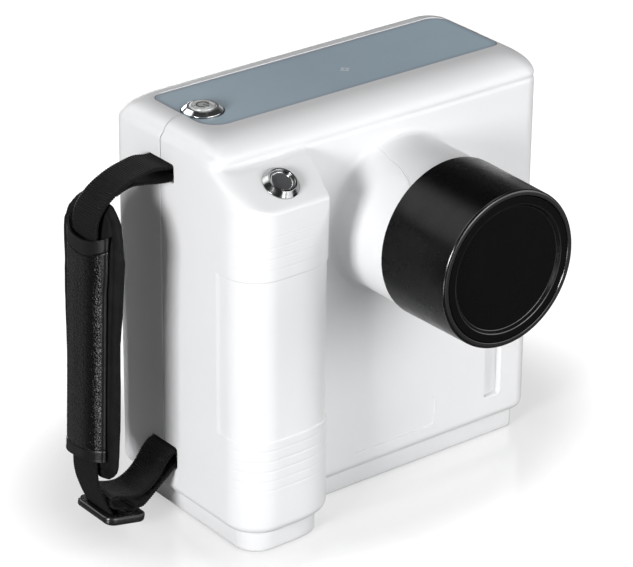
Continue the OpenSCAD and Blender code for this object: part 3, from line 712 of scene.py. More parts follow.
def housing_surface(g):
    low, r = FOOT_Z + g, foot_radius(g)
    rows = []
    for z in housing_rows(g):
        p = outline_at(z, g)
        n = plan_normals(p)
        inset = r - math.sqrt(max(0.0, r * r - (low + r - z) ** 2)) if z < low + r else 0.0
        q = p - n * inset
        rows.append(np.concatenate([q, np.full((len(q), 1), z)], 1))
    p = np.array(rows)
    if g:
        return p
    du = np.roll(p, -1, 1) - np.roll(p, 1, 1)
    dv = np.gradient(p, axis=0)
    n = np.cross(du, dv)
    n /= np.maximum(1e-9, np.linalg.norm(n, axis=2))[..., None]
    x, y, z = p[..., 0], p[..., 1], p[..., 2]
    push = np.zeros(x.shape)
    # valley and the soft shoulder under it; deepest at the front by the left corner
    plan = np.hypot(n[..., 0], n[..., 1])
    sideways = np.clip(-n[..., 0] / np.maximum(plan, 0.05), 0, 1) * (x < -50)
    c = crease_height(p, sideways)
    fade = 1 - 0.85 * smoothstep((y - 12) / 20.0) * (x < -60)
    strong = bell((x + 68) / 24) * (y < -25) * (1 - sideways)
    fade = fade * (1 - 2.2 * sideways * (1 - sideways))
    valley = bell((z - c + 0.2 - 1.1 * sideways) / (1.1 + 0.5 * sideways + 0.8 * strong))
    push -= fade * (0.5 + 0.8 * strong) * valley
    push += fade * 0.24 * sideways * bell((z - c + 1.7) / 1.4)
    # the mouldings' joint: a fine groove, behind which the rear one stands a little proud
    side = plan * (np.abs(x) > 70)
    push -= 0.13 * bell((y - JOINT_Y) / 0.3) * side
    push += 0.15 * smoothstep((y - 1.5) / 0.35) * (1 - smoothstep((y - 5) / 16.0)) * side
    # grip: wrap-around recess and grooves that fade out over the left wall
    on_grip = (y < -37.2) & (z < 160)
    edge = smoothstep((-36.6 - y) / 1.9) * on_grip
    band = smoothstep((z - 54.75) / 0.6) * smoothstep((129.5 - z) / 0.6)
    push -= (0.34 + 0.3 * smoothstep((-46 - y) / 8.0)) * edge * band
    wrap = smoothstep((-43.5 - y) / 9.0) * on_grip
    for height, depth, width in GROOVES:
        push -= depth * wrap * bell((z - height) / width)
    return p + n * push[..., None]


def make_housing():
    outer, inner = (grid([list(map(tuple, row)) for row in housing_surface(g)], cap_start=True, cap_end=True)
                    for g in (0.0, WALL))
    inside_out = inner[0], [f[::-1] for f in inner[1]]
    shell = make("housing_surface", *merged([outer, inside_out]))
    with edited(shell) as bm:
        bmesh.ops.remove_doubles(bm, verts=bm.verts, dist=2e-6)
    cut = Cutter()
    cut.pocket(LABEL, LABEL_RADII, 8, [(-0.8, 0), (-0.12, 0), (3, 0.1)], top)
    button = [(-9, 0), (4, 0)]
    cut.hole(POWER_X, POWER_Y, 7.15, 12, button, top)
    cut.hole(0, 0, 7.15, 12, button, lambda a, b, d: tuple(at_expo @ Vector((a, b, d))))
    for z0, z1 in ((158, 166.2), (23.7, 33.9)):
        cut.pocket((-7.65, z0, 10.45, z1), 1.2, 5, mouth(9, 0.55), left)
    cut.pocket((61, 23, 70, 112), 1.6, 6, mouth(3, 0.55), front)
    cut.pocket((-13, 19.5, 32, 33.7), 1.2, 5, mouth(0.6, 0.28), front)
    cut.hole(BEAM_X, BEAM_Z, 33.4, 20, [(-8, 0), (2, 0)], front)
    cut.pocket((-29, 114, 39, 160), 4, 6, mouth(1.6, 0.3), rear)
    cut.pocket((-24, 119, 34, 155), 2, 5, [(-8, 0), (-1, 0)], rear)
    for x in KEY_X:
        for z in KEY_Z:
            cut.pocket((x - 7.85, z - 4.85, x + 7.85, z + 4.85), 2.35, 5, mouth(8, 0.35), rear)
    cut.pocket((50.9, 23.9, 59.1, 32.1), 4.1, 9, mouth(8, 0.5), rear)
    for k in range(6):
        x, z = -52 + 3 * math.cos(math.radians(60 * k)), 60 + 3 * math.sin(math.radians(60 * k))
        cut.hole(x, z, 0.7, 5, mouth(8, 0.15), rear)
    for x, z in BOSSES:
        cut.hole(x, z, 3.2, 8, mouth(2.2, 0.3), rear)
    cut.cut(shell)
    return shell


def half(shell, name, y, keep_front):
    """The part of the shell on one side of the joint between the mouldings, with its wall closed."""
    obj = add_object(name, shell.data.copy())
    with edited(obj) as bm:
        cut = bmesh.ops.bisect_plane(bm, geom=[*bm.verts, *bm.edges, *bm.faces], dist=1e-7,
                                     plane_co=(0, y * MM, 0), plane_no=(0, 1, 0),
                                     clear_outer=keep_front, clear_inner=not keep_front)
        edges = [e for e in cut["geom_cut"] if isinstance(e, bmesh.types.BMEdge) and len(e.link_faces) == 1]
        bmesh.ops.triangle_fill(bm, use_beauty=True, use_dissolve=False, edges=edges)
        bmesh.ops.recalc_face_normals(bm, faces=bm.faces)
    return smooth(obj, 30)


shell = make_housing()
place(half(shell, "front_moulding", 1.39, True), white, slot="white_shell", replaces=["front_shell"])
place(half(shell, "rear_moulding", 1.61, False), white, slot="white_shell", replaces=["rear_shell"])
bpy.data.objects.remove(shell)


def make_plinth():
    def plan(inset, z):
        p = outline_at(40.0)
        return [(x, y, z) for x, y in p - plan_normals(p) * (4.7 + inset)]

    levels = ((1.5, 0.3), (0.9, 0.38), (0.45, 0.65), (0.15, 1.1), (0, 1.8), (0, 4), (0, 8), (0, 12.4))
    rows = [plan(inset, z) for inset, z in levels]
    obj = outward(make("plinth", *grid(rows, cap_start=True, cap_end=True)))
    cut = Cutter()
    cut.hole(0, 0, 4.85, 10, [(-11, 0), (3, 0)], under)
    for x, y in BASE_SCREWS:
        cut.hole(x, y, 2.9, 8, [(-2.2, 0), (3, 0)], under)
    cut.pocket((-70, -14, -20, 14), 6, 6, [(-1.0, 0), (3, 0)], under)
    cut.cut(obj)
    return smooth(obj, 32)


place(make_plinth(), white_inner, slot="white_shell", replaces=["base_plinth"])

# ---- nozzle and cone -----------------------------------------------------------------

beam = Matrix.Translation((BEAM_X, 0, BEAM_Z)) @ Matrix.Rotation(math.radians(90), 4, "X")


def seam_angle(h):
    """Angle of the fine joint line of the nozzle at a distance h in front of Y zero."""
    return math.radians(float(np.interp(h, (36, 38.6, 49.8, 56.9, 64.9, 69.4), (109.5, 110, 114, 116, 121, 126))))


def nozzle_profile():
    flare = [(37.9 - 3.4 * math.sin(a), 36.45 + 3.4 - 3.4 * math.cos(a))
             for a in np.radians(np.linspace(0, 90, 12))]
    wall = [(34.5, h) for h in np.linspace(41, 68.6, 24)]
    lip = rounded([(34.5, 68, 0), (34.5, 69.4, 0.5), (33.3, 69.4, 0)])[1:]
    inside = [(33.2, 79.6), (31, 79.6), (31, 31.3), (38.4, 31.3), (38.4, 33.7), (33.3, 33.7), (33.3, 36.3)]
    return flare + wall + [tuple(p) for p in lip] + inside


def make_nozzle():
    """Angles are packed towards the joint line, which runs along one column of the mesh."""
    offsets = [-180 + 360 * k / 140 for k in range(140)]
    near = [-1.6, -1.1, -0.75, -0.45, -0.22, 0, 0.22, 0.45, 0.75, 1.1, 1.6]
    turns = sorted([o for o in offsets if abs(o) > 2.4] + near)
    profile = nozzle_profile()
    rows = []
    for o in turns:
        row = []
        for r, h in profile:
            follow = hump(o / 75)
            line = seam_angle(min(max(h, 36), 69.4))
            t = math.radians(115 + o) + (line - math.radians(115)) * follow
            if r > 34:
                r = r - 0.3 * hump(o / 0.26)
                # a shallow flat to the right of the joint
                r = r - 0.12 * float(smoothstep((-o - 0.2) / 1.0) * smoothstep((o + 60) / 30))
            row.append(tuple(beam @ Vector((r * math.cos(t), r * math.sin(t), h))))
        rows.append(row)
    return smooth(outward(make("nozzle_moulding", *grid(rows, closed_v=True))), 38)


place(make_nozzle(), white, slot="white_shell", replaces=["nozzle"])


def second_look(obj, finish, where):
    """Gives the faces of a turned piece a second finish where its radius and height say so."""
    obj.data.materials.append(finish.mat)
    back = beam.inverted()
    for face in obj.data.polygons:
        at = back @ (face.center * 1000)
        if where(math.hypot(at.x, at.y), at.z):
            face.material_index = 1


cone = turned("cone_shell", [(33.2, 69.75, 0), (35.5, 69.75, 0.5), (34.72, 109.2, 1.3), (32.3, 109.2, 0.4),
                             (31.95, 108.6, 0.2), (31.9, 108.4, 0), (31.9, 106.05, 0), (32.15, 106.05, 0),
                             (32.15, 80.4, 0), (33.2, 80, 0)], beam, 192, cone_side, "cone_black", 8,
              replaces=["cone_barrel"])
second_look(cone, cone_edge, lambda r, h: h > 107.95)
disc = turned("cone_end_disc", [(0, 103.9, 0), (31.8, 103.9, 0), (31.8, 109.0, 0.12), (28.3, 109.0, 0.7),
                                (27.2, 107.6, 0.5), (0, 107.5, 0)], beam, 160, cone_face, "cone_black", 6, 34,
              replaces=["cone_window"])
second_look(disc, cone_edge, lambda r, h: 26.6 < r < 29.2)

# ---- push-buttons ---------------------------------------------------------------------

turned("power_bezel_ring", [(5.6, -18, 0), (6.95, -18, 0), (6.95, -0.2, 0.05), (8.65, -0.2, 0.05),
                            (8.65, 0.55, 0.28), (6.75, 2.1, 0.35), (5.75, 2.1, 0.18), (5.58, 1.2, 0)],
       at_power, 128, chrome, "chrome", replaces=["power_bezel"])
turned("power_cap_dome", [(0, -6, 0), (1.95, -6, 0), (1.95, -3.2, 0), (5.4, -3.2, 0), (5.4, 2.55, 0.35),
                          (4.35, 2.62, 0.1), (4.22, 2.42, 0.06), (4.02, 2.42, 0.06), (3.9, 2.66, 0.1), (0, 2.7, 0)],
       at_power, 128, satin, "chrome", 5, body="power_button", replaces=["power_cap"])


def ribbon(points, width, z, thick, frame_matrix):
    """Flat raised mark that follows a polyline, with rounded ends."""
    n = len(points)
    rows = []
    for i, (x, y) in enumerate(points):
        ax, ay = points[max(0, i - 1)]
        bx, by = points[min(n - 1, i + 1)]
        d = Vector((bx - ax, by - ay)).normalized()
        px, py = -d.y * width / 2, d.x * width / 2
        section = ((x + px, y + py, z), (x + px * 0.86, y + py * 0.86, z + thick),
                   (x - px * 0.86, y - py * 0.86, z + thick), (x - px, y - py, z))
        rows.append([tuple(frame_matrix @ Vector(p)) for p in section])
    return grid(rows, cap_start=True, cap_end=True)


def joined(name, parts):
    return outward(make(name, *merged(parts)))


turned("power_gasket", [(7.0, -0.6, 0), (9.27, -0.6, 0), (9.27, -0.03, 0.06), (8.55, -0.03, 0.06),
                        (8.5, -0.22, 0), (7.0, -0.22, 0)], at_power, 128, dark_mark, "switch_black", 4)

at_symbol = at_power @ Matrix.Rotation(math.radians(-158), 4, "Z")
ring = [(2.5 * math.cos(math.radians(a)), 2.5 * math.sin(math.radians(a))) for a in range(128, 413, 6)]
marks = [ribbon(line, 0.7, 2.64, 0.13, at_symbol) for line in (ring, [(0, 0.3), (0, 1.4), (0, 3.1)])]
place(smooth(joined("power_mark", marks), 35, False), dark_mark, body="power_button", slot="switch_black")

turned("exposure_bezel_ring", [(5.15, -17, 0), (6.95, -17, 0), (6.95, 0.05, 0), (8.1, 0.05, 0.05),
                               (8.15, 0.5, 0.25), (6.15, 2.65, 0.4), (5.35, 2.8, 0.22), (5.14, 2.2, 0)],
       at_expo, 128, dark_chrome, "chrome", replaces=["exposure_bezel"])
turned("exposure_cap_disc", [(0, -6.5, 0), (1.95, -6.5, 0), (1.95, -4, 0), (4.95, -4, 0), (4.95, 1.5, 0.3),
                             (0, 1.38, 0)], at_expo, 128, button_grey, "button_grey", 5,
       body="exposure_button", replaces=["exposure_cap"])
turned("exposure_cap_rim", [(4.12, 1.2, 0), (5.0, 1.2, 0), (5.0, 1.95, 0.25), (4.3, 1.95, 0.25), (4.12, 1.3, 0)],
       at_expo, 128, chrome, "chrome", 5, body="exposure_button")

# ---- top label -----------------------------------------------------------------------


def make_label():
    """Film with a hole for the button; each ring of points knows how far it is from the rim."""
    steps = [(0.28, 182.25), (0.28, 182.58), (0.34, 182.66), (0.45, 182.68), (0.9, FILM_Z), (1.6, FILM_Z),
             (3, FILM_Z)]
    rings = [[(x, y, z) for x, y in rect(*LABEL, LABEL_RADII, 12, -inset)] for inset, z in steps]
    verts, faces = grid(rings)
    n = len(rings[0])
    base = len(verts) - n
    hole = [(POWER_X + 9.3 * math.cos(t), POWER_Y + 9.3 * math.sin(t))
            for t in np.linspace(0, 2 * math.pi, 73)[:-1]]
    h0 = len(verts)
    verts += [(x, y, FILM_Z) for x, y in hole] + [(x, y, 182.25) for x, y in hole]
    obj = make("label_film", verts, faces)
    with edited(obj) as bm:
        bm.verts.ensure_lookup_table()
        edges = []
        for first, count in ((base, n), (h0, 72)):
            for i in range(count):
                a, b = bm.verts[first + i], bm.verts[first + (i + 1) % count]
                edges.append(bm.edges.get((a, b)) or bm.edges.new((a, b)))
        for i in range(72):
            k = (i + 1) % 72
            bm.faces.new([bm.verts[j] for j in (h0 + i, h0 + k, h0 + 72 + k, h0 + 72 + i)])
        bmesh.ops.triangle_fill(bm, use_beauty=True, use_dissolve=False, edges=edges)
        bmesh.ops.recalc_face_normals(bm, faces=bm.faces)
    rim = obj.data.attributes.new("rim", "FLOAT", "POINT")
    by_ring = np.repeat([0, 0, 0.006, 0.017, 0.06, 0.13, 0.28], n)
    for i, v in enumerate(obj.data.vertices):
        x, y = v.co.x * 1000, v.co.y * 1000
        edge = min(x - LABEL[0], LABEL[2] - x, y - LABEL[1], LABEL[3] - y)
        near_hole = math.hypot(x - POWER_X, y - POWER_Y) < 9.5
        inside = 0.3 if near_hole else min(1.0, max(0.0, edge - 0.28) / 10)
        rim.data[i].value = float(by_ring[i]) if i < len(by_ring) else inside
    return smooth(obj, 40, False)


place(make_label(), film, slot="label_film", replaces=["top_label"])

spot = [([(8.4 + 1.5 * math.cos(t), 0.7 + 1.5 * math.sin(t)) for t in np.linspace(0, 2 * math.pi, 33)], 0.42)]
spot += [([(8.4 + dx * a, 0.7 + dy * a) for a in (0.5, 2.6)], 0.36)
         for dx, dy in ((1, 0), (-1, 0), (0, 1), (0, -1))]
spot = [ribbon(line, width, 182.68, 0.03, Matrix.Identity(4)) for line, width in spot]
place(smooth(joined("focal_spot_mark", spot), 35, False), icon_white, slot="label_film")

# ---- rear panel -----------------------------------------------------------------------


def slab(name, box, radius, steps, levels, to_world, finish, slot, **riding):
    """Rounded rectangle x0, z0, x1, z1 lofted through levels."""
    obj = outward(make(name, *loft(lambda grow: rect(*box, [radius] * 4, steps, grow), levels, to_world)))
    return place(smooth(obj, 34), finish, slot=slot, **riding)


def pillow(thick, proud, round_r):
    """Levels of a slab whose outer edge is rounded."""
    out = [(-thick, 0.0)]
    for k in range(6):
        t = math.radians(18 * k)
        out.append((proud - round_r + round_r * math.sin(t), -round_r * (1 - math.cos(t))))
    return out


slab("display_glass", (-28.7, 114.3, 38.7, 159.7), 3.7, 8, pillow(1.5, -0.05, 0.3), rear, window_glass, "window",
     replaces=["display_window"])
slab("display_image", (-23, 120, 33, 154), 1, 4, [(-0.04, 0), (0.0, 0)], rear, screen, "lcd")


def rear_marks(name, shapes, y, finish, slot, body="housing"):
    """Marks made of lines (points, width) on the rear face, standing 0.06 proud of y."""
    to_rear = Matrix(((1, 0, 0, 0), (0, 0, 1, 0), (0, 1, 0, 0), (0, 0, 0, 1)))
    obj = joined(name, [ribbon(points, width, y, 0.06, to_rear) for points, width in shapes])
    return place(smooth(obj, 35, False), finish, body=body, slot=slot)


def ring_line(cx, cz, r, a0=0, a1=360):
    return [(cx + r * math.cos(math.radians(a)), cz + r * math.sin(math.radians(a)))
            for a in np.linspace(a0, a1, 24)]


def box_line(x0, z0, x1, z1):
    return [(x0, z0), (x1, z0), (x1, z1), (x0, z1), (x0, z0 - 0.01)]


gauge = [(box_line(-20, 146, -12, 150.5), 0.5), ([(-11.4, 147.6), (-11.4, 148.9)], 0.8),
         ([(-18.6, 148.2), (-14.6, 148.2)], 2.6)]
gauge += [([(-18 + 3.2 * i, 128), (-18 + 3.2 * i, 128 + 2.2 + 1.3 * i)], 1.8) for i in range(7)]
gauge += [([(-20, 126), (30, 126)], 0.4), ([(-20, 143.4), (30, 143.4)], 0.4)]


def seven(x, z, on):
    """Lit strokes of a seven-bar digit, in the order top, right pair, foot, left pair, middle."""
    bars = [(0.6, 10, 4.4, 10), (5, 9.4, 5, 5.6), (5, 4.4, 5, 0.6), (0.6, 0, 4.4, 0), (0, 4.4, 0, 0.6),
            (0, 9.4, 0, 5.6), (0.6, 5, 4.4, 5)]
    return [([(x + a, z + b), (x + c, z + d)], 0.9) for (a, b, c, d), lit in zip(bars, on) if lit]


ZERO, FOUR_FROM_BEHIND = (1, 1, 1, 1, 1, 1, 0), (0, 1, 0, 0, 1, 1, 1)
gauge += seven(9, 129.5, ZERO) + [([(23.4, 129.3), (23.4, 130.3)], 1.1)] + seven(16.2, 129.5, FOUR_FROM_BEHIND)
gauge += seven(25.6, 129.5, ZERO)
rear_marks("display_marks", gauge, 36.5, screen_mark, "lcd")

tooth_line = [(-1.9, 1.2), (-1.3, 2.2), (0, 1.8), (1.3, 2.2), (1.9, 1.2), (1.6, -0.6), (1.1, -2.4), (0.6, -2.3),
              (0.3, -0.7), (-0.3, -0.7), (-0.6, -2.3), (-1.1, -2.4), (-1.6, -0.6), (-1.9, 1.21)]
# node, column, row, finish, slot, ink, and the lines of its icon with their widths
KEYS = [
    ("key_plus", 0, 0, key_blue, "key_blue", icon_white,
     [([(-2.2, 0), (2.2, 0)], 0.8), ([(0, -2.2), (0, 2.2)], 0.8)]),
    ("key_minus", 0, 1, key_blue, "key_blue", icon_white, [([(-2.2, 0), (2.2, 0)], 0.8)]),
    ("key_tooth", 1, 0, key_grey, "key_grey", icon_dark, [(tooth_line, 0.5)]),
    ("key_patient", 1, 1, key_grey, "key_grey", icon_dark,
     [(ring_line(0, 1.2, 1.15), 0.5), (ring_line(0, -2.6, 2.3, 0, 180), 0.5)]),
    ("key_film", 2, 0, key_grey, "key_grey", icon_dark,
     [(box_line(-2.4, -2.4, 2.4, 2.4), 0.5), (box_line(-1.1, -1.3, 1.1, 1.3), 0.4)]),
    ("key_ready", 2, 1, key_amber, "key_amber", icon_white,
     [(ring_line(0, 0, 2.3, 60, 390), 0.55), ([(0, 0), (1.5, 0.9)], 0.6)]),
]
key_levels = [(-4.4, 1.4), (-3.4, 1.4), (-3.35, 0), (-0.6, 0)]
key_levels += [(1.2 - 0.7 + 0.7 * math.sin(t), -0.7 * (1 - math.cos(t))) for t in np.radians(np.linspace(0, 82, 6))]
key_levels += [(1.17, -1.6), (1.08, -2.8)]
for node, column, row, finish, slot, ink, icon in KEYS:
    x, z = KEY_X[column], KEY_Z[row]
    slab(node + "_top", (x - 7.5, z - 4.5, x + 7.5, z + 4.5), 2, 8, key_levels, rear, finish, slot, body=node,
         replaces=[node])
    lines = [([(x + a, z + b) for a, b in points], width) for points, width in icon]
    rear_marks(node + "_mark", lines, 37.55, ink, slot, body=node)

rear_frame = lambda x, y, z: Matrix.Translation((x, y, z)) @ Matrix.Rotation(math.radians(-90), 4, "X")
at_jack = rear_frame(55, 36.5, 28)
turned("jack_sleeve", [(2.85, -11, 0), (3.95, -11, 0), (3.95, -0.45, 0.3), (3.1, -0.45, 0.3), (2.85, -0.9, 0)],
       at_jack, 64, jack_black, "switch_black", 4, 35)
turned("jack_pin", [(0, -11, 0), (1, -11, 0), (1, -1.5, 0.4), (0, -1.3, 0)], at_jack, 32, steel, "steel", 4, 35)


def screw_head(name, at, r, cross, replaces):
    """Pan head with a cross recess, cut into its face; at puts local Z out of the surface."""
    profile = rounded([(0, -1.5, 0), (r, -1.5, 0), (r, -0.35, 0.4), (0, 0.0, 0)], 5)
    obj = lathe(name, [(max(0.0, radius), height) for radius, height in profile], at, 48, closed=False)
    quarter = lambda q: [(cross + q, -0.32 - q), (cross + q, 0.32 + q), (0.34 + q, 0.34 + q)]
    plus = lambda q: [(a * c - b * s, a * s + b * c) for c, s in ((1, 0), (0, 1), (-1, 0), (0, -1))
                      for a, b in quarter(q)]
    cut = Cutter()
    cut.add(plus, [(-0.9, -0.1), (0.5, 0.05)], lambda u, v, d: tuple(at @ Vector((u, v, d))))
    cut.cut(obj)
    place(smooth(obj, 35), steel, slot="steel", replaces=replaces)


for i, (x, z) in enumerate(BOSSES):
    screw_head(f"case_screw_{i}", rear_frame(x, 35.85, z), 2.95, 1.7, [] if i else ["case_screws"])
for i, (x, y) in enumerate(BASE_SCREWS):
    facing_down = Matrix.Translation((x, y, 0.6)) @ Matrix.Rotation(math.pi, 4, "X")
    screw_head(f"base_screw_{i}", facing_down, 2.7, 1.6, [] if i else ["base_screws"])

# ---- hand strap -----------------------------------------------------------------------

WEB_Y, WEB_W = JOINT_Y, 17.5


def curve_through(points, step):
    """Smooth path through (x, z) points, at about step mm."""
    p = np.array(points, float)
    p = np.concatenate([[2 * p[0] - p[1]], p, [2 * p[-1] - p[-2]]])
    out = []
    for i in range(1, len(p) - 2):
        a, b, c, d = p[i - 1:i + 3]
        n = max(3, int(np.linalg.norm(c - b) / 0.5))
        for t in np.linspace(0, 1, n, endpoint=False):
            curve = (c - a) * t + (2 * a - 5 * b + 4 * c - d) * t * t + (3 * b - a - 3 * c + d) * t ** 3
            out.append(0.5 * (2 * b + curve))
    out.append(p[-2])
    q = np.array(out)
    s = lengths(q)
    n = max(4, int(s[-1] / step))
    t = np.linspace(0, s[-1], n)
    return np.stack([np.interp(t, s, q[:, 0]), np.interp(t, s, q[:, 1])], 1), t


def band(name, points, crown, width=WEB_W, thick=1.5, pitch=1.05):
    """Ribbed webbing along an (x, z) path, lower by crown at its edges. The ribs are part of its mesh."""
    path, length = curve_through(points, pitch / 5)
    d = np.gradient(path, axis=0)
    d /= np.hypot(*d.T)[:, None]
    normals = np.stack([-d[:, 1], d[:, 0]], 1)
    rows, uv = [], []
    for (x, z), (nx, nz), s in zip(path, normals, length):
        rib = abs(math.sin(math.pi * s / pitch))
        row = []
        for side in (1, -1):
            for v in (np.linspace(-1, 1, 25) if side > 0 else np.linspace(1, -1, 25)):
                edge = max(0.0, (abs(v) - 0.93) / 0.07)
                t = thick / 2 * (1 - 0.55 * edge * edge) + 0.26 * (rib - 0.6) * (1 - 0.5 * edge)
                wave = 0.1 * noise.noise(Vector((s * 0.12, v * 1.5, WEB_Y + 3 * side)))
                off = side * t - crown * v * v + wave
                y = WEB_Y + v * width / 2 + 0.15 * math.sin(2 * math.pi * s / pitch) * (abs(v) > 0.99)
                row.append((x + nx * off, y, z + nz * off))
                uv.append((float(s), float(v * width / 2 + side * 40)))
        rows.append(row)
    verts, faces = grid(rows, cap_start=True, cap_end=True)
    obj = make(name, verts, faces, uv)
    return smooth(outward(obj), 60, False)


def strap_band(name, points, crown, start, end, replaces=(), **shape):
    """Webbing along the points, with its transform baked in and no body of its own; start and end are not used."""
    obj = band(name, points, crown, **shape)
    place(obj, webbing, body=None, slot="webbing", replaces=replaces)
    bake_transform(obj)


strap_band("webbing_upper_band",
           [(-84.5, 165.0), (-90, 165.1), (-95.5, 166.0), (-101, 165.3), (-106.4, 164.1), (-111.2, 162.3),
            (-116.2, 159.7), (-120.4, 156.4), (-123.5, 152.4), (-124.9, 148.3), (-125.0, 144), (-125.3, 132)],
           0.25, (-0.092, 0.0014, 0.165), (-0.107, 0.0014, 0.167), ["webbing_upper", "webbing_ends"])
strap_band("webbing_upper_tail",
           [(-84.5, 159.3), (-90, 159.3), (-95.5, 160.2), (-101, 161.2), (-106.4, 162.0), (-111, 161.3),
            (-115.0, 159.8)],
           0.2, (-0.092, 0.0014, 0.165), (-0.107, 0.0014, 0.167), width=17.2, thick=1.35)
strap_band("webbing_lower_band",
           [(-84.5, 25.4), (-88, 24.9), (-92.6, 21.5), (-98.2, 17.1), (-102.2, 13.9), (-105, 12.1), (-108, 11.8),
            (-111.1, 9.7), (-113.9, 7.4), (-116.2, 7.3), (-118.6, 8.3), (-120.3, 11.4), (-122, 14.6), (-124, 18.5),
            (-126, 23.6), (-127.4, 28), (-128.2, 33), (-128.4, 40), (-128.2, 46), (-127.7, 60)],
           0.15, (-0.0905, 0.0014, 0.025), (-0.105, 0.0014, 0.018), ["webbing_lower"])
strap_band("webbing_lower_back",
           [(-84.5, 32.2), (-89, 31.8), (-92.6, 28.8), (-95.2, 25.2), (-98.4, 21.6), (-102, 19.1), (-106.8, 17.4),
            (-111.5, 17.8), (-115.5, 19), (-118.6, 20.1), (-120.9, 19.8), (-121.4, 18.1), (-119.8, 16.3),
            (-116.5, 14.8), (-113.2, 13.7)],
           0.3, (-0.0905, 0.0014, 0.03), (-0.105, 0.0014, 0.021), width=18.2, thick=1.4)

lean_buckle = Matrix.Translation((-115.7, WEB_Y, 10.5)) @ Matrix.Rotation(math.radians(11.4), 4, "Y")


def make_buckle():
    """Tri-glide: a rounded frame with a middle bar, its edges softened."""
    levels = [(-1.5, -0.9), (-1.32, -0.45), (-1.0, -0.12), (-0.5, 0), (0.5, 0), (1.0, -0.12), (1.32, -0.45),
              (1.5, -0.9)]
    at = lambda a, b, d: tuple(lean_buckle @ Vector((a, b, d * (1.05 + 0.25 * smoothstep((abs(b) - 8) / 4)))))
    outline = lambda grow: rect(-10.5, -13.2, 10.5, 13.2, [4.6] * 4, 10, grow)
    obj = outward(make("buckle_frame", *loft(outline, levels, at)))
    cut = Cutter()
    for s in (-1, 1):
        slots = [(-3, 0.8), (-1.5, 0.42), (-1.1, 0.08), (-0.6, 0), (0.6, 0), (1.1, 0.08), (1.5, 0.42), (3, 0.8)]
        cut.pocket((s * 4.5 - 2.7, -9.4, s * 4.5 + 2.7, 9.4), 1.2, 5, slots, at)
    cut.cut(obj)
    return smooth(obj, 40)


place(make_buckle(), buckle_black, body="strap", slot="buckle_plastic", replaces=["strap_buckle"])


def pad_face(z):
    """X of the pad's outer face: it leans towards the housing, and its top end bends that way."""
    return -126.35 + 0.0314 * (z - 52) + 2.4 * ease((z - 140) / 20)


def pad_half(z):
    """Half width of the pad: it widens upwards and ends in a pointed arch; its lower corners are round."""
    w = 17.6 + 0.0245 * (z - 52)
    if z > 135:
        w *= max(0.0, 1 - ((z - 135) / 24.6) ** 2) ** 0.5
    if z < 43.5:
        w -= 11 * (1 - math.sqrt(max(0.0, 1 - ((43.5 - z) / 12.0) ** 2)))
    return w


def pad_outline(grow):
    """Points (y, z) round the pad, from the foot up its +Y side and back down."""
    zs = [31.55 + 12 * (1 - math.cos(t)) for t in np.radians(np.linspace(12, 90, 10))]
    zs += list(np.linspace(47, 134, 24)) + [135 + 24.55 * math.sin(t) for t in np.radians(np.linspace(4, 88, 26))]
    side = [(max(0.4, pad_half(z)), z) for z in zs]
    loop = side + [(-w, z) for w, z in reversed(side)]
    p = np.array(loop)
    n = plan_normals(p)
    if grow:
        p = p + n * grow
    return [(float(a), float(b)) for a, b in p]


def webbing_under(x):
    """Height of the upper webbing's inner side over the pad's top end."""
    return float(np.interp(x, [-124.2, -123.6, -122.4, -119.6, -115.6], [145, 148.2, 152.2, 155.5, 158.6]))


PUFF_FRAMES, PUFF_LIMIT = 20, 0.0011


def puff(obj):
    """Runs the form as a closed cloth skin with pressure in it and keeps its movement up to a limit in metres."""
    rest = [v.co.copy() for v in obj.data.vertices]
    cloth = modify(obj, "CLOTH").settings
    cloth.use_pressure = True
    cloth.uniform_pressure_force = 4
    cloth.effector_weights.gravity = 0
    cloth.tension_stiffness = cloth.compression_stiffness = 25
    cloth.bending_stiffness = 0.8
    cloth.quality = 6
    scene = bpy.context.scene
    for f in range(1, PUFF_FRAMES + 1):
        scene.frame_set(f)
    graph = bpy.context.evaluated_depsgraph_get()
    puffed = [v.co.copy() for v in obj.evaluated_get(graph).to_mesh().vertices]
    obj.modifiers.clear()
    scene.frame_set(1)
    for v, a, b in zip(obj.data.vertices, rest, puffed):
        move = b - a
        if move.length > PUFF_LIMIT:
            move *= PUFF_LIMIT / move.length
        v.co = a + move


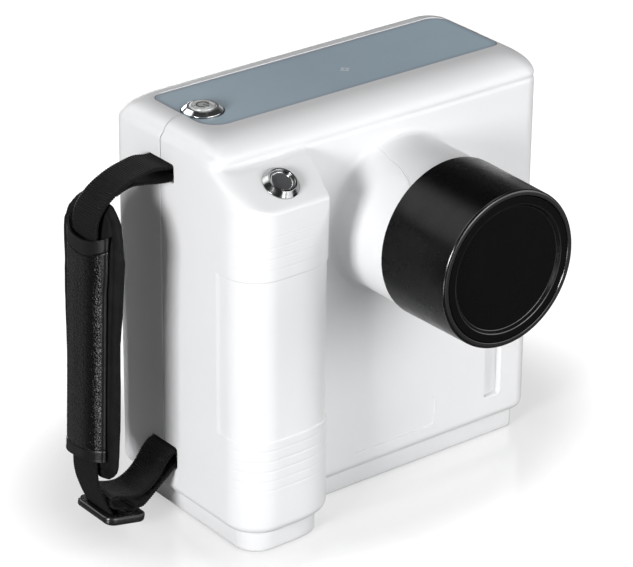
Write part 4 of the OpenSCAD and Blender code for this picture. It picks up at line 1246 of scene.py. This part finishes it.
def make_pad():
    """Padded backing: a closed form simulated as a filled cloth skin, then seamed."""
    levels = [(0.1, -1.6), (0.35, -0.8), (0.9, -0.25), (2.5, 0), (4.1, -0.25), (4.65, -0.8), (4.9, -1.6)]
    verts, faces = loft(pad_outline, levels, lambda a, b, d: (pad_face(b) + d, WEB_Y + a, b))
    obj = outward(make("pad_cushion", verts, faces))
    modify(obj, "REMESH", mode="VOXEL", voxel_size=0.002)
    apply_modifiers(obj)
    puff(obj)
    modify(obj, "SMOOTH", factor=0.5, iterations=4)
    modify(obj, "SUBSURF", levels=2, render_levels=2)
    apply_modifiers(obj)
    # smoothing shrinks the form a little: stretch it back to its size
    p = np.array([v.co for v in obj.data.vertices]) * 1000
    waist = np.abs(p[:, 2] - 100) < 20
    wide = 20.5 / np.abs(p[waist, 1] - WEB_Y).max()
    deep = p[waist, 0] - np.array([pad_face(z) for z in p[waist, 2]])
    thick, mid = 4.9 / (deep.max() - deep.min()), (deep.max() + deep.min()) / 2
    over, below = 159.4 - p[:, 2].max(), p[:, 2].min() - 31.8
    for v, (x, y, z) in zip(obj.data.vertices, p):
        face = pad_face(z)
        z += over * ease((z - 110) / 45) - below * ease((80 - z) / 45)
        v.co = Vector((face + 2.5 + (x - face - mid) * thick, WEB_Y + (y - WEB_Y) * wide, z)) * MM
    for v in obj.data.vertices:
        x, y, z = v.co.x * 1000, v.co.y * 1000 - WEB_Y, v.co.z * 1000
        edge = min(pad_half(min(max(z, 32), 159)) * 1.09 - abs(y), z - 31.6, (160.5 - z) * 0.8)
        face = pad_face(z)
        outer = x < face + 2.5
        side = -1 if outer else 1
        # a seam runs round near the rim of the outer face and there is a softer one inside
        pinch = 0.55 * hump((edge - 5.1) / 0.7) if outer else 0.3 * hump((edge - 3.4) / 0.9)
        fold = 0.2 * noise.noise(Vector((y * 0.12, z * 0.045, 2.0 + side)))
        fold += 0.09 * noise.noise(Vector((y * 0.4, z * 0.12, side)))
        x -= side * (pinch - fold)
        if abs(y) < 9.6:
            roof = webbing_under(x) + 0.3 * max(0.0, abs(y) - 8.8) - 0.15
            if z > roof:
                v.co.z = roof * MM
        if abs(y) < 12.6 and 42 < z < 145:
            x = max(x, face - 0.15)
        v.co.x = x * MM
    return smooth(obj, 70, False)


pad = make_pad()
place(pad, pad_cloth, body="strap", slot="pad_fabric", replaces=["strap_pad"])


SLEEVE_W, TOP_HEM, FOOT_HEM = 13.4, 6.35, 5.2


def sleeve_top(t):
    return 141.9 + 4.2 * abs(t) ** 2.2


def sleeve_foot(t):
    return 41.4 - 1.6 * t


def sleeve_height(t, z):
    """How far the sleeve's skin stands off the pad's face at t, -1 to 1 across it."""
    return 0.25 + 4.35 * (1 - abs(t) ** 3.3) - 0.35 * ease((z - 132) / 12) * (1 - t * t)


def sleeve_point(t, z, out):
    """Point that stands out mm off the sleeve's smooth skin."""
    e = 1e-3
    half_width = lambda q: SLEEVE_W + 0.9 * ease((z - 118) / 14) * (q < 0)
    c = lambda q: np.array((pad_face(z) - sleeve_height(q, z), WEB_Y + q * half_width(q)))
    d = c(min(1, t + e)) - c(max(-1, t - e))
    n = np.array((-d[1], d[0]))
    n /= np.hypot(*n)
    p = c(t) + n * out
    return float(p[0]), float(p[1]), z


def make_sleeve():
    """Leather skin over the webbing: grained between its two hems, which are smooth and turned over."""
    nt, nz = 120, 330
    flat = np.linspace(-1, 1, nt + 1)
    ts = np.sign(flat) * (1 - (1 - np.abs(flat)) ** 1.25)
    rows = []
    for i in range(nz + 1):
        w = i / nz
        row = []
        for t in ts:
            low, high = sleeve_foot(t), sleeve_top(t)
            z = low + (high - low) * w
            top_gap, foot_gap = high - z, z - low
            grained = float(smoothstep((top_gap - 6.3) / 0.5) * smoothstep((foot_gap - FOOT_HEM) / 0.5))
            grained *= ease((0.93 - abs(t)) / 0.05)
            stir_y = 0.35 * noise.noise(Vector((t * 9, z * 0.8, 0)))
            stir_z = 0.35 * noise.noise(Vector((z * 0.8, t * 9, 5)))
            cell = noise.voronoi(Vector((SLEEVE_W * t * 0.8 + stir_y, z * 0.8 + stir_z, 0)))
            pebble = 0.1 * min(1.0, (cell[0][1] - cell[0][0]) / 0.45) ** 0.7 - 0.05
            out = grained * pebble
            out += 0.1 * noise.noise(Vector((t * 1.6, z * 0.045, 4)))
            # hems stand a little proud and end in a rounded lip
            hem = max(ease((6.2 - top_gap) / 0.5), ease((5.1 - foot_gap) / 0.5))
            out += 0.26 * hem
            out -= 0.5 * hump((top_gap - TOP_HEM) / 0.3) + 0.35 * hump((foot_gap - FOOT_HEM) / 0.35)
            out += 0.16 * hump(min(top_gap, foot_gap) / 0.7)
            # side seams
            out -= 0.3 * hump((abs(t) - 0.945) / 0.012)
            row.append(sleeve_point(float(t), z, out))
        rows.append(row)
    verts, faces = grid(rows, closed_u=False)
    obj = make("sleeve_skin", verts, faces)
    modify(obj, "SOLIDIFY", thickness=0.0009, offset=-1)
    apply_modifiers(obj)
    outward(obj)
    return smooth(obj, 60, False)


sleeve = make_sleeve()
place(sleeve, leather, body="strap", slot="sleeve_leather", replaces=["strap_sleeve"])
sleeve.data.materials.append(edge_binding.mat)
for face in sleeve.data.polygons:
    across, high = (face.center.y * 1000 - WEB_Y) / SLEEVE_W, face.center.z * 1000
    if high > sleeve_top(across) - TOP_HEM or high < sleeve_foot(across) + FOOT_HEM or abs(across) > 0.93:
        face.material_index = 1


def stitch_row(points):
    """Thread stitches along a polyline, each a short rounded capsule."""
    length, gap, r = 1.9, 1.0, 0.24
    parts = []
    p = [Vector(q) for q in points]
    s = [0.0]
    for a, b in zip(p, p[1:]):
        s.append(s[-1] + (b - a).length)

    def at(t):
        for k in range(len(p) - 1):
            if t <= s[k + 1]:
                return p[k].lerp(p[k + 1], (t - s[k]) / max(1e-9, s[k + 1] - s[k]))
        return p[-1]

    t = 0.0
    while t + length < s[-1]:
        a, b = at(t), at(t + length)
        d = (b - a).normalized()
        side = d.orthogonal().normalized()
        third = d.cross(side)
        rows = []
        for k in range(7):
            w = k / 6
            rr = r * math.sqrt(max(0.02, 1 - (2 * w - 1) ** 4))
            rows.append([tuple(a.lerp(b, w) + (side * math.cos(q) + third * math.sin(q)) * rr)
                         for q in np.linspace(0, 2 * math.pi, 9)[:-1]])
        parts.append(grid(rows, cap_start=True, cap_end=True))
        t += length + gap
    return parts


threads = []
for f in (lambda t: sleeve_top(t) - 5.7, lambda t: sleeve_foot(t) + 4.5):
    threads += stitch_row([sleeve_point(t, f(t), 0.3) for t in np.linspace(-0.9, 0.9, 60)])
for t in (-0.965, 0.965):
    heights = np.linspace(sleeve_foot(t) + 1, sleeve_top(t) - 1, 40)
    threads += stitch_row([sleeve_point(t, z, 0.1) for z in heights])
place(smooth(joined("sleeve_threads", threads), 60, False), thread, body="strap", slot="sleeve_leather")

# ---- the CAD's own nodes -----------------------------------------------------------------

CARRIED = [
    (lead, "cone_lead_liner collimator_disc lead_shield"),
    (aluminium, "aluminium_filter tank tank_lid chassis_plate heatsink"),
    (switch_black, "power_contacts exposure_contacts tact_switches buzzer"), (chrome, "power_nut exposure_nut"),
    (port_resin, "tank_window"), (glass, "tube_glass"), (copper, "tube_anode"), (core, "transformer_core"),
    (steel, "tube_cathode nozzle_screws strap_pins"), (coil, "transformer_coils"),
    (board, "multiplier_board main_board display_board"), (capacitor, "multiplier_capacitors board_capacitors"),
    (battery, "battery_cells"), (tray_black, "battery_tray"), (window_glass, "lcd_module"),
    (cable_grey, "ribbon_cable"), (jack_black, "dc_jack"), (brass, "tripod_insert"),
]
for finish, names in CARRIED:
    for name in names.split():
        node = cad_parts[name]
        for s in range(max(1, len(node.material_slots))):
            if not node.material_slots:
                node.data.materials.append(finish.mat)
            node.material_slots[s].material = finish.mat

# ---- floor, light ------------------------------------------------------------------------

# pale floor: white to the eye, a weaker source of light itself, dark in reflections, and with a painted shade round
# the base
floor = Finish("floor_white", (0.42, 0.42, 0.42), 0.14, Specular_IOR_Level=0.5)
path = floor.add("ShaderNodeLightPath")
tone = floor.tint(floor.noise(900, 1), (0.3, (0.415, 0.415, 0.415)), (0.7, (0.425, 0.425, 0.425)))
floor.base(floor.mix(path.outputs["Is Glossy Ray"], tone, (0.09, 0.09, 0.09)))
floor.shader.inputs["Emission Color"].default_value = (1, 1, 1, 1)
# the floor's glow to the camera is dimmed near the housing: a painted shade round its base
spread = floor.vector("MULTIPLY", floor.vector("SUBTRACT", floor.mm, (0.0, 9.0, 0.0))[0], (0.0086, 0.0125, 1.0))[0]
reach = floor.add("ShaderNodeVectorMath", {0: spread}, operation="LENGTH").outputs["Value"]
glow_with_painted_shade = floor.span(reach, 0.5, 0.95, 0.95, 1.55, interpolation_type="SMOOTHSTEP")
glow_with_painted_shade = floor.math("MULTIPLY", path.outputs["Is Camera Ray"], glow_with_painted_shade)
floor.tree.links.new(glow_with_painted_shade, floor.shader.inputs["Emission Strength"])
ground = make("floor", [(-6000, -6000, 0), (6000, -6000, 0), (6000, 6000, 0), (-6000, 6000, 0)], [(0, 1, 2, 3)])
ground.data.materials.append(floor.mat)

# surroundings: white to the camera and a weak light to surfaces. In mirrors mostly dark, with a soft patch at the
# back left and a pale strip low at the back right.
BACKDROP, AMBIENT = 1.1, 0.055
world = bpy.data.worlds.new("studio")
bpy.context.scene.world = world
world.use_nodes = True
studio = Nodes(world.node_tree)
sky = studio.tree.nodes["Background"]
sky.inputs["Color"].default_value = (1, 1, 1, 1)
ray = studio.add("ShaderNodeLightPath").outputs
direction = studio.add("ShaderNodeTexCoord").outputs["Generated"]
axes = studio.add("ShaderNodeSeparateXYZ", {0: direction}).outputs


def fade(value, from_low, from_high, low, high):
    return studio.span(value, low, high, from_low, from_high, interpolation_type="SMOOTHSTEP")


strip = studio.math("MULTIPLY", fade(axes["X"], 0.3, 0.62, 0, 1), fade(axes["Z"], 0.3, 0.06, 0.1, 0.45))
strip = studio.math("MULTIPLY", fade(axes["Y"], 0.05, 0.4, 0, 1), strip)
patch = studio.vector("DOT_PRODUCT", direction, (-0.40, 0.70, 0.59))["Value"]
mirrored = studio.math("ADD", strip, fade(patch, 0.88, 0.995, 0.04, 2.6))
unseen = studio.add("ShaderNodeMix", {0: ray["Is Glossy Ray"], 2: AMBIENT, 3: mirrored}).outputs[0]
strength = studio.math("MAXIMUM", studio.math("MULTIPLY", ray["Is Camera Ray"], BACKDROP), unseen)
studio.tree.links.new(strength, sky.inputs["Strength"])
bpy.context.scene.view_settings.view_transform = "Standard"


def softbox(name, at, aim, size, power):
    light = bpy.data.lights.new(name, "AREA")
    light.shape = "RECTANGLE"
    light.size, light.size_y = size
    light.energy = power
    obj = add_object(name, light)
    obj.location = at
    obj.rotation_euler = (Vector(aim) - Vector(at)).to_track_quat("-Z", "Y").to_euler()


softbox("key", (-1.97, -0.66, 0.66), (-0.08, 0, 0.1), (0.6, 0.6), 41)
softbox("over", (0.35, 0.2, 1.9), (0, 0, 0.1), (1.0, 1.0), 3)
softbox("front", (0.2, -2.2, 0.8), (0, 0, 0.1), (1.4, 1.2), 19)
softbox("side", (1.1, -1.5, 0.6), (0, 0, 0.1), (2.2, 1.4), 19)
softbox("rear", (0.55, 2.1, 0.25), (0, 0, 0.1), (1.2, 0.9), 21)
